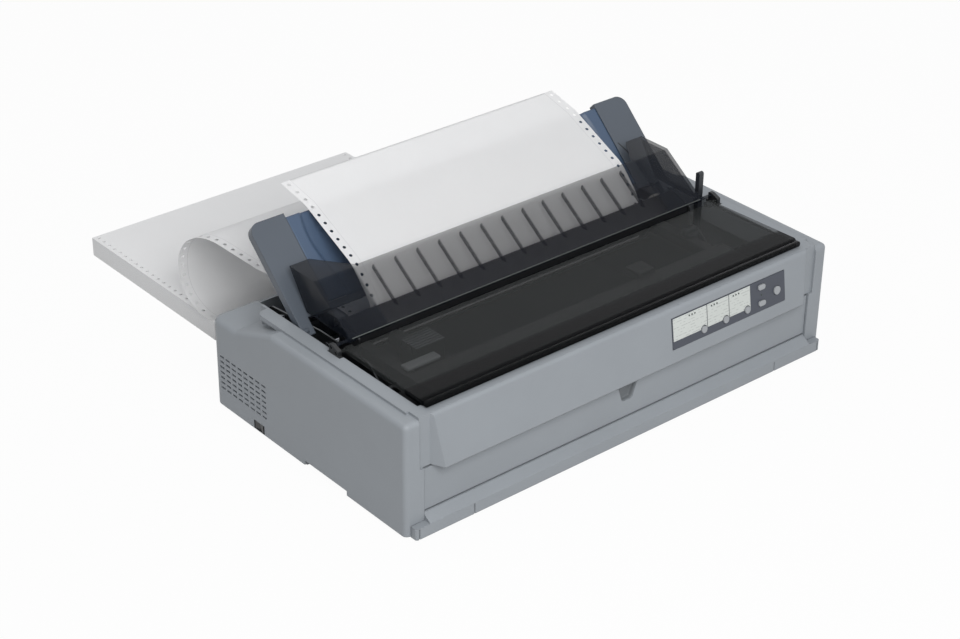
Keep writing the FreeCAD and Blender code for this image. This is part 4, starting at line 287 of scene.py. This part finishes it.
def hood_ribs():
    tree = HOOD.node_tree
    x, y, z = place_axes(tree)
    slope = math.atan2(HOOD_RISE, HOOD_RUN)
    rise = product(tree, step(tree, "SUBTRACT", z, HOOD_FOOT_Z), math.cos(slope))
    run = product(tree, step(tree, "SUBTRACT", y, HOOD_FOOT_Y), math.sin(slope))
    on_rib = step(tree, "LESS_THAN", from_nearest(tree, x, RIB_PITCH), RIB_HALF / RIB_PITCH)
    behind = step(tree, "GREATER_THAN", step(tree, "SUBTRACT", run, rise), BEHIND_WALL)
    rib = product(tree, on_rib, behind, step(tree, "LESS_THAN", z, ROOF_Z))
    end = ramp(tree, step(tree, "ABSOLUTE", x), CLEAR_HALF, CLEAR_HALF + END_BLEND, high=END_ALPHA)
    middle = step(tree, "MULTIPLY_ADD", rib, RIB_ALPHA - HOOD_ALPHA, HOOD_ALPHA)
    tree.links.new(step(tree, "MAXIMUM", middle, end), shader_of(HOOD).inputs["Alpha"])
    tinted(HOOD, step(tree, "MAXIMUM", rib, step(tree, "GREATER_THAN", end, HOOD_ALPHA)), HOOD_DARK)


# The front of the smoked cover is darker than the rest of it

LIP_REAR, LIP_BLEND = -0.126, 0.003
COVER_ALPHA, LIP_ALPHA = 0.4, 0.8
LIP_DARK = (8, 9, 10)


def dark_lip():
    tree = SMOKE.node_tree
    lip = ramp(tree, place_axes(tree)["Y"], LIP_REAR + LIP_BLEND, LIP_REAR)
    tinted(SMOKE, lip, LIP_DARK)
    solid = step(tree, "MULTIPLY_ADD", lip, LIP_ALPHA - COVER_ALPHA, COVER_ALPHA)
    tree.links.new(solid, shader_of(SMOKE).inputs["Alpha"])


# The hinge ears and the switch's well are black on the grey case

EAR_LOW, EAR_HIGH = (0.2826, -0.025, 0.1408), (0.2884, -0.003, 0.156)
WELL_LOW, WELL_HIGH = (-0.3152, 0.082, 0.003), (-0.3, 0.104, 0.017)
CASE_BLACK = (24, 26, 28)


def black_places():
    tree = CASE.node_tree
    x, y, z = place_axes(tree)
    both_sides = step(tree, "ABSOLUTE", x)
    ears = product(tree, *(between(tree, *band) for band in zip((both_sides, y, z), EAR_LOW, EAR_HIGH)))
    well = product(tree, *(between(tree, *band) for band in zip((x, y, z), WELL_LOW, WELL_HIGH)))
    tinted(CASE, step(tree, "MAXIMUM", ears, well), CASE_BLACK)


# A short slanted slot in the right arm of the sheet guide, measured up the guide from its hinge. The slot is
# not cut: the shade inside it is painted on the arm as a dark line

GUIDE_TILT = math.radians(43.3)
GUIDE_PIVOT = next(joint["pos_m"] for joint in frame["joints"] if joint["name"] == "sheet_guide_hinge")
SLOT_X, SLOT_FOOT, SLOT_TOP = 0.238, 0.057, 0.077
SLOT_SLANT, SLOT_HALF = 0.45, 0.0009
SLOT_SHADE = (16, 18, 22)


def arm_slot():
    tree = GUIDE_ARM.node_tree
    x, y, z = place_axes(tree)
    run = product(tree, step(tree, "SUBTRACT", y, GUIDE_PIVOT[1]), math.cos(GUIDE_TILT))
    rise = product(tree, step(tree, "SUBTRACT", z, GUIDE_PIVOT[2]), math.sin(GUIDE_TILT))
    upward = step(tree, "ADD", run, rise)
    slant = product(tree, step(tree, "SUBTRACT", SLOT_TOP, upward), SLOT_SLANT)
    off = step(tree, "ABSOLUTE", step(tree, "SUBTRACT", step(tree, "SUBTRACT", x, SLOT_X), slant))
    on_line = step(tree, "LESS_THAN", off, SLOT_HALF)
    tinted(GUIDE_ARM, product(tree, on_line, between(tree, upward, SLOT_FOOT, SLOT_TOP)), SLOT_SHADE)


# Thin broken rules run across the label cards

RULE_PITCH, RULE_SHARE, RULE_INK = 0.0034, 0.24, 0.3
BREAK_SCALE, BREAK_LEVEL = 260.0, 0.52
RULE_GREY = (90, 94, 96)


def label_rules():
    tree = LABEL.node_tree
    rules = ruled(tree, place_axes(tree)["Z"], RULE_PITCH, RULE_SHARE)
    unbroken = step(tree, "GREATER_THAN", noise(tree, BREAK_SCALE, 1.0).outputs["Fac"], BREAK_LEVEL)
    tinted(LABEL, product(tree, rules, unbroken, RULE_INK), RULE_GREY)


# The edges of the sheets show as thin lines on the sides of the paper block

SHEET_PITCH, SHEET_SHARE, SHEET_INK, SHEETS_TOP = 0.0016, 0.3, 0.35, 0.0248
SHEET_GREY = (186, 186, 184)


def stacked_sheets():
    tree = STACK.node_tree
    height = place_axes(tree)["Z"]
    side = step(tree, "LESS_THAN", height, SHEETS_TOP)
    tinted(STACK, product(tree, ruled(tree, height, SHEET_PITCH, SHEET_SHARE), side, SHEET_INK), SHEET_GREY)


# Thin paper lets some light through. It has faint perforated lines beside its holes and at its folds

SHEET_LENGTH, TEAR_X = 0.2794, 0.1905
TEAR_HALF, FOLD_HALF, PERFORATION_INK = 0.00025, 0.0005, 0.3
PERFORATION_GREY = (150, 150, 150)
SCATTER_SHARE, SCATTER_DEPTH = 0.45, 0.002


def perforated_lines():
    tree = PAPER.node_tree
    flat = tree.nodes.new("ShaderNodeUVMap")
    flat.uv_map = "sheet"
    axes = tree.nodes.new("ShaderNodeSeparateXYZ")
    tree.links.new(flat.outputs["UV"], axes.inputs[0])
    across, along = axes.outputs[0], axes.outputs[1]
    from_tear = step(tree, "ABSOLUTE", step(tree, "SUBTRACT", step(tree, "ABSOLUTE", across), TEAR_X))
    tear = step(tree, "LESS_THAN", from_tear, TEAR_HALF)
    fold = step(tree, "LESS_THAN", from_nearest(tree, along, SHEET_LENGTH), FOLD_HALF / SHEET_LENGTH)
    tinted(PAPER, product(tree, step(tree, "MAXIMUM", tear, fold), PERFORATION_INK), PERFORATION_GREY)
    inputs = shader_of(PAPER).inputs
    inputs["Subsurface Weight"].default_value = SCATTER_SHARE
    inputs["Subsurface Radius"].default_value = (1.0, 1.0, 1.0)
    inputs["Subsurface Scale"].default_value = SCATTER_DEPTH


hood_ribs()
dark_lip()
black_places()
arm_slot()
label_rules()
stacked_sheets()
perforated_lines()


# Every solid takes its finish

FINISHES = {
    CASE: ("upper_case", "lower_case", "front_door"),
    GUIDE_ARM: ("sheet_guide_frame",),
    SMOKE: ("printer_cover",),
    HOOD: ("rear_cover",),
    BLUE: ("sheet_guide_panel",),
    PANEL: ("control_panel",),
    BUTTON: ("round_button_1", "round_button_2", "round_button_3", "feed_button", "load_button",
             "pause_button"),
    LABEL: ("panel_labels",),
    LIGHT: ("indicator_lights",),
    DARK: ("left_edge_guide", "right_edge_guide", "release_lever", "power_inlet", "platen_knob",
           "left_tractor", "right_tractor", "carriage", "ribbon_knob"),
    BLACK: ("ribbon_cartridge", "tension_bar", "power_rocker"),
    STEEL: ("carriage_shaft", "tractor_guide_rail", "platen_shaft", "tractor_shaft", "case_screws"),
    SHADED_ZINC: ("chassis_tray", "left_side_frame", "right_side_frame", "paper_guide", "carriage_rail",
           "power_supply", "parallel_port"),
    RUBBER: ("rubber_feet", "platen_roller"),
    GEAR: ("idler_gear", "platen_gear", "tractor_gear", "feed_pinion", "left_sprocket", "right_sprocket",
           "left_tractor_gate", "right_tractor_gate", "motor_pulley", "idler_pulley"),
    ALUMINIUM: ("print_head",),
    RIBBON: ("ink_ribbon",),
    BOARD: ("main_board",),
    PAPER: ("continuous_paper", "paper_stack"),
    BELT: ("carriage_belt",),
    MOTOR: ("feed_motor", "carriage_motor"),
}
for finish, names in FINISHES.items():
    for name in names:
        mesh = frame["nodes"][name].data
        if not mesh.materials:
            mesh.materials.append(finish)
        for index in range(len(mesh.materials)):
            mesh.materials[index] = finish


# Steps that the new pieces share

def finished(name, shape, finish, body):
    """The shape as a piece that rides on its body."""
    mesh = bpy.data.meshes.new(name)
    shape.to_mesh(mesh)
    shape.free()
    mesh.materials.append(finish)
    piece = bpy.data.objects.new(name, mesh)
    bpy.context.scene.collection.objects.link(piece)
    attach(piece, body)
    return piece


def smoothed(shape):
    for face in shape.faces:
        face.smooth = True


def softened(shape, edges, radius, segments):
    """Rounds the given edges."""
    bmesh.ops.bevel(shape, geom=edges, offset=radius, offset_type="OFFSET", segments=segments,
                    profile=0.5, affect="EDGES", material=-1)


def walled(piece, thickness, offset=-1.0):
    """Gives a skin its thickness."""
    skin = piece.modifiers.new("wall", "SOLIDIFY")
    skin.thickness = thickness
    skin.offset = offset


def flat_grid(shape, width, length, across, along):
    """A flat sheet about X zero, from Y zero up, in so many parts each way."""
    verts = bmesh.ops.create_grid(shape, x_segments=across, y_segments=along, size=0.5)["verts"]
    bmesh.ops.scale(shape, verts=verts, vec=(width, length, 1))
    bmesh.ops.translate(shape, verts=verts, vec=(0, length / 2, 0))
    return verts


def kept(parts, kind):
    """Those parts of an operator's result that are of one kind."""
    return [part for part in parts if isinstance(part, kind)]


# Fan-fold paper, punched along both edges in cells one hole pitch long

PAPER_HALF, PAPER_WALL = 0.2032, 0.00025
HOLE_PITCH, HOLE_RADIUS = 0.0127, 0.002
CELL_PARTS, PAGE_PARTS = 4, 10
INNER_SHARE, MERGE_GAP = 0.99, 0.00002


def punched_cells(shape, x, rows):
    """A row of square cells, each with a round hole, from Y zero up."""
    half = HOLE_PITCH / 2
    verts = bmesh.ops.create_grid(shape, x_segments=CELL_PARTS, y_segments=CELL_PARTS, size=half)["verts"]
    inner = [v for v in verts if max(abs(v.co.x), abs(v.co.y)) < half * INNER_SHARE]
    border = [v for v in verts if v not in inner]
    bmesh.ops.delete(shape, geom=inner, context="VERTS")
    rim = bmesh.ops.create_circle(shape, cap_ends=False, segments=CELL_PARTS * 4, radius=HOLE_RADIUS)["verts"]
    edges = list(dict.fromkeys(edge for vert in border + rim for edge in vert.link_edges))
    faces = bmesh.ops.bridge_loops(shape, edges=edges)["faces"]
    bmesh.ops.translate(shape, verts=border + rim, vec=(x, half, 0))
    bmesh.ops.spin(shape, geom=border + rim + faces, cent=(0, 0, 0), axis=(0, 0, 1), dvec=(0, HOLE_PITCH, 0),
                   angle=0.0, steps=rows - 1, use_duplicate=True)


def punched_sheet(rows):
    """A flat sheet from Y zero up, with a row of cells along both long edges."""
    shape = bmesh.new()
    for side in (-1, 1):
        punched_cells(shape, side * (PAPER_HALF - HOLE_PITCH / 2), rows)
    flat_grid(shape, 2 * (PAPER_HALF - HOLE_PITCH), rows * HOLE_PITCH, PAGE_PARTS, rows * CELL_PARTS)
    bmesh.ops.remove_doubles(shape, verts=shape.verts, dist=MERGE_GAP)
    bmesh.ops.recalc_face_normals(shape, faces=shape.faces)
    return shape


# The web's line as Y, Z and bend radius, from the paper block to the page's top. Its loop leans sideways

ROUTE = (
    (0.297, 0.0255, 0.0), (0.35, 0.0255, 0.05), (0.35, 0.134, 0.05), (0.29, 0.136, 0.06),
    (0.222, 0.1215, 0.06), (0.157, 0.12256, 0.012), (0.07, 0.12256, 0.012), (0.05798, 0.09125, 0.01835),
    (0.02765, 0.0966, 0.01835), (0.02765, 0.15, 0.05), (0.064, 0.19, 0.05), (0.184, 0.246, 0.0),
)
BEND_STEP = 0.0025
LOOP_START, LOOP_LEAN = 0.149, -0.034 / 0.148


def rounded_line(route):
    """Straight runs and rounded bends: each point with its length so far."""
    spots = [Vector(point[:2]) for point in route]
    line = [spots[0]]
    for behind, spot, ahead, (_, _, radius) in zip(spots, spots[1:], spots[2:], route[1:]):
        before = (behind - spot).normalized()
        after = (ahead - spot).normalized()
        half_angle = before.angle(after) / 2
        centre = spot + (before + after).normalized() * radius / math.sin(half_angle)
        start = spot + before * radius / math.tan(half_angle) - centre
        sweep = math.pi - 2 * half_angle
        if start.x * after.y < start.y * after.x:
            sweep = -sweep
        count = max(2, round(abs(sweep) * radius / BEND_STEP))
        line += [centre + Matrix.Rotation(sweep * part / count, 2) @ start for part in range(count + 1)]
    line.append(spots[-1])
    measured = [(0.0, line[0])]
    for one, two in zip(line, line[1:]):
        if two != one:
            measured.append((measured[-1][0] + (two - one).length, two))
    return measured


LINE = rounded_line(ROUTE)
WEB_LENGTH = LINE[-1][0]


def bent(x, along):
    """Where a point of the flat sheet lies once the web is bent."""
    wanted = WEB_LENGTH - along
    for (low, one), (high, two) in zip(LINE, LINE[1:]):
        if wanted <= high:
            break
    spot = one.lerp(two, min(1.0, max(0.0, (wanted - low) / (high - low))))
    return Vector((x + max(0.0, spot.x - LOOP_START) * LOOP_LEAN, spot.x, spot.y))


def fan_fold_web():
    shape = punched_sheet(int(WEB_LENGTH // HOLE_PITCH))
    flat = shape.loops.layers.uv.new("sheet")
    for face in shape.faces:
        face.smooth = abs(face.calc_center_median().x) < PAPER_HALF - HOLE_PITCH
        for corner in face.loops:
            corner[flat].uv = corner.vert.co.xy
    for vert in shape.verts:
        vert.co = bent(vert.co.x, vert.co.y)
    web = finished("fan_fold_web", shape, PAPER, "printer_body")
    walled(web, PAPER_WALL, 0.0)
    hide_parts("continuous_paper")


# The folded block behind: a punched top sheet over the edges of the rest. Its faces are put in order
# of their place, because the extruded walls come in another order on each run

PIT_DEPTH, EDGE_SLACK = 0.004, 0.0001
ORDER_OF_PLACE = Vector((1.0, 17.3, 291.7))


def fan_fold_block():
    low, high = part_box("paper_stack")
    rows = round((high.y - low.y) / HOLE_PITCH)
    shape = punched_sheet(rows)

    def on_outline(vert):
        return max(abs(vert.co.x) - PAPER_HALF, -vert.co.y, vert.co.y - rows * HOLE_PITCH) > -EDGE_SLACK

    rims = [edge for edge in shape.edges if edge.is_boundary]
    outline = [edge for edge in rims if any(on_outline(vert) for vert in edge.verts)]
    holes = [edge for edge in rims if edge not in outline]
    for ring, depth in ((outline, high.z - low.z), (holes, PIT_DEPTH)):
        walls = bmesh.ops.extrude_edge_only(shape, edges=ring)["geom"]
        bmesh.ops.translate(shape, verts=kept(walls, bmesh.types.BMVert), vec=(0, 0, -depth))
        bottom = [edge for edge in kept(walls, bmesh.types.BMEdge) if edge.is_boundary]
        bmesh.ops.holes_fill(shape, edges=bottom, sides=0)
    bmesh.ops.recalc_face_normals(shape, faces=shape.faces)
    shape.faces.sort(key=lambda face: face.calc_center_median().dot(ORDER_OF_PLACE))
    bmesh.ops.translate(shape, verts=shape.verts, vec=((low.x + high.x) / 2, low.y, high.z))
    block = finished("fan_fold_block", shape, STACK, "printer_body")
    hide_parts("paper_stack")


# The sheet guide's plate: a dished sheet whose margins rise in an S beside the arms

PLATE_LOW, PLATE_TOP, PLATE_FACE, PLATE_WALL = 0.022, 0.128, -0.004, 0.0025
PLATE_ACROSS, PLATE_UP = 232, 36
MARGIN, MARGIN_SWAY, MARGIN_TURN = 0.024, 0.006, 1.4 * math.pi
MARGIN_RISE, MARGIN_BLEND = 0.0032, 0.004


def guide_plate():
    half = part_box("sheet_guide_panel")[1].x
    length = PLATE_TOP - PLATE_LOW
    shape = bmesh.new()
    for vert in flat_grid(shape, 2 * half, length, PLATE_ACROSS, PLATE_UP):
        edge = half - MARGIN - MARGIN_SWAY * math.cos(vert.co.y / length * MARGIN_TURN)
        climb = min(1.0, max(0.0, (abs(vert.co.x) - edge) / MARGIN_BLEND))
        vert.co.z = PLATE_FACE + MARGIN_RISE * climb * climb * (3 - 2 * climb)
    bmesh.ops.translate(shape, verts=shape.verts, vec=(0, PLATE_LOW, 0))
    tilt = Matrix.Rotation(GUIDE_TILT, 3, "X")
    bmesh.ops.rotate(shape, verts=shape.verts, cent=(0, 0, 0), matrix=tilt)
    bmesh.ops.translate(shape, verts=shape.verts, vec=GUIDE_PIVOT)
    smoothed(shape)
    plate = finished("guide_plate", shape, BLUE, "sheet_guide")
    walled(plate, PLATE_WALL)
    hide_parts("sheet_guide_panel")


# The bright wire along the foot of the hood, a rod along X with rounded ends

WIRE_HALF, WIRE_RADIUS, WIRE_Y, WIRE_Z = 0.262, 0.0007, -0.0128, 0.1527
WIRE_SIDES, WIRE_ROUND_SHARE, WIRE_ROUND_PARTS = 20, 0.4, 3


def hood_hem_wire():
    shape = bmesh.new()
    bmesh.ops.create_circle(shape, cap_ends=True, segments=WIRE_SIDES, radius=WIRE_RADIUS)
    drawn = bmesh.ops.extrude_face_region(shape, geom=list(shape.faces))["geom"]
    bmesh.ops.translate(shape, verts=kept(drawn, bmesh.types.BMVert), vec=(0, 0, 2 * WIRE_HALF))
    rings = [edge for edge in shape.edges if abs(edge.verts[0].co.z - edge.verts[1].co.z) < WIRE_HALF]
    softened(shape, rings, WIRE_RADIUS * WIRE_ROUND_SHARE, WIRE_ROUND_PARTS)
    turn = Matrix.Rotation(math.pi / 2, 3, "Y")
    bmesh.ops.rotate(shape, verts=shape.verts, cent=(0, 0, 0), matrix=turn)
    bmesh.ops.translate(shape, verts=shape.verts, vec=(-WIRE_HALF, WIRE_Y, WIRE_Z))
    bmesh.ops.recalc_face_normals(shape, faces=shape.faces)
    smoothed(shape)
    finished("hood_hem_wire", shape, WIRE, "rear_cover")


# Moulded blocks: two on the ribbon cartridge and the rounded front edge of the smoked cover

BLOCK_PARTS = 3


def moulded_block(name, low, high, rounding, finish, body):
    """A block between two corners, with rounded edges."""
    shape = bmesh.new()
    verts = bmesh.ops.create_cube(shape, size=1.0)["verts"]
    low, high = Vector(low), Vector(high)
    bmesh.ops.scale(shape, verts=verts, vec=high - low)
    bmesh.ops.translate(shape, verts=verts, vec=(low + high) / 2)
    softened(shape, list(shape.edges), rounding, BLOCK_PARTS)
    smoothed(shape)
    finished(name, shape, finish, body)


# The pull behind the door's notch: a shallow cup with its wall outside

NOTCH_TOP_HALF, NOTCH_FOOT_HALF, NOTCH_HIGH, NOTCH_LOW = 0.0178, 0.0073, 0.0783, 0.0482
CUP_MOUTH, CUP_DEPTH, CUP_ROUND, CUP_WALL, CUP_PARTS = -0.1664, 0.0052, 0.0025, 0.0012, 4


def notch_cup():
    shape = bmesh.new()
    mouth = shape.faces.new([shape.verts.new(spot) for spot in (
        (-NOTCH_TOP_HALF, CUP_MOUTH, NOTCH_HIGH), (-NOTCH_FOOT_HALF, CUP_MOUTH, NOTCH_LOW),
        (NOTCH_FOOT_HALF, CUP_MOUTH, NOTCH_LOW), (NOTCH_TOP_HALF, CUP_MOUTH, NOTCH_HIGH))])
    back = bmesh.ops.extrude_discrete_faces(shape, faces=[mouth])["faces"][0]
    bmesh.ops.translate(shape, verts=back.verts, vec=(0, CUP_DEPTH, 0))
    deep = [edge for edge in shape.edges if max(v.co.y for v in edge.verts) > CUP_MOUTH + CUP_DEPTH / 2]
    softened(shape, deep, CUP_ROUND, CUP_PARTS)
    bmesh.ops.recalc_face_normals(shape, faces=shape.faces)
    bmesh.ops.reverse_faces(shape, faces=shape.faces)
    smoothed(shape)
    cup = finished("notch_cup", shape, PULL, "front_door")
    walled(cup, CUP_WALL)


fan_fold_web()
fan_fold_block()
guide_plate()
hood_hem_wire()
moulded_block("cartridge_grip", (-0.233, -0.071, 0.1268), (-0.187, -0.058, 0.1312), 0.0018,
              BUTTON, "printer_body")
moulded_block("cartridge_catch", (0.102, -0.076, 0.1268), (0.127, -0.052, 0.1325), 0.0012,
              BLACK, "printer_body")
moulded_block("cover_lip", (-0.2795, -0.1605, 0.144), (0.2795, -0.154, 0.1505), 0.002,
              SMOKE, "printer_cover")
notch_cup()


# A pale floor that shows white and keeps the printer's shadow

FLOOR_HALF, FLOOR_GREY, FLOOR_ROUGHNESS, FLOOR_SHINE, FLOOR_WHITE = 12.0, 0.66, 0.9, 0.1, 0.96


def pale_floor():
    shape = bmesh.new()
    bmesh.ops.create_grid(shape, x_segments=1, y_segments=1, size=FLOOR_HALF)
    mesh = bpy.data.meshes.new("floor")
    shape.to_mesh(mesh)
    shape.free()
    mat = bpy.data.materials.new("floor")
    mat.use_nodes = True
    mesh.materials.append(mat)
    shader = shader_of(mat)
    shader.inputs["Base Color"].default_value = (FLOOR_GREY, FLOOR_GREY, FLOOR_GREY, 1.0)
    shader.inputs["Roughness"].default_value = FLOOR_ROUGHNESS
    shader.inputs["Specular IOR Level"].default_value = FLOOR_SHINE
    tree = mat.node_tree
    white = tree.nodes.new("ShaderNodeEmission")
    white.inputs["Color"].default_value = (1, 1, 1, 1)
    mix = tree.nodes.new("ShaderNodeMixShader")
    tree.links.new(product(tree, seen_directly(tree), FLOOR_WHITE), mix.inputs["Fac"])
    tree.links.new(shader.outputs["BSDF"], mix.inputs[1])
    tree.links.new(white.outputs["Emission"], mix.inputs[2])
    tree.links.new(mix.outputs["Shader"], tree.nodes["Material Output"].inputs["Surface"])
    floor = bpy.data.objects.new("floor", mesh)
    bpy.context.scene.collection.objects.link(floor)


# Soft studio light: two lamps in watts and a faint sky, which the camera sees as white

SKY_LEVEL, SKY_COLOUR = 0.4, (0.97, 0.98, 1.0, 1.0)


def lamp(name, place, aim, size, power):
    data = bpy.data.lights.new(name, "AREA")
    data.shape = "RECTANGLE"
    data.size, data.size_y = size
    data.energy = power
    thing = bpy.data.objects.new(name, data)
    thing.location = place
    thing.rotation_euler = (Vector(aim) - Vector(place)).to_track_quat("-Z", "Y").to_euler()
    bpy.context.scene.collection.objects.link(thing)


def studio_sky():
    world = bpy.data.worlds.new("studio")
    world.use_nodes = True
    tree = world.node_tree
    background = tree.nodes["Background"]
    background.inputs["Color"].default_value = SKY_COLOUR
    strength = step(tree, "MULTIPLY_ADD", seen_directly(tree), 1.0 - SKY_LEVEL, SKY_LEVEL)
    tree.links.new(strength, background.inputs["Strength"])
    bpy.context.scene.world = world


pale_floor()
lamp("key_lamp", (-0.7, -1.6, 1.5), (0, 0, 0.1), (1.3, 1.1), 31)
lamp("top_lamp", (-0.2, 0.6, 2.6), (0, 0.2, 0.1), (2.0, 1.6), 8)
studio_sky()
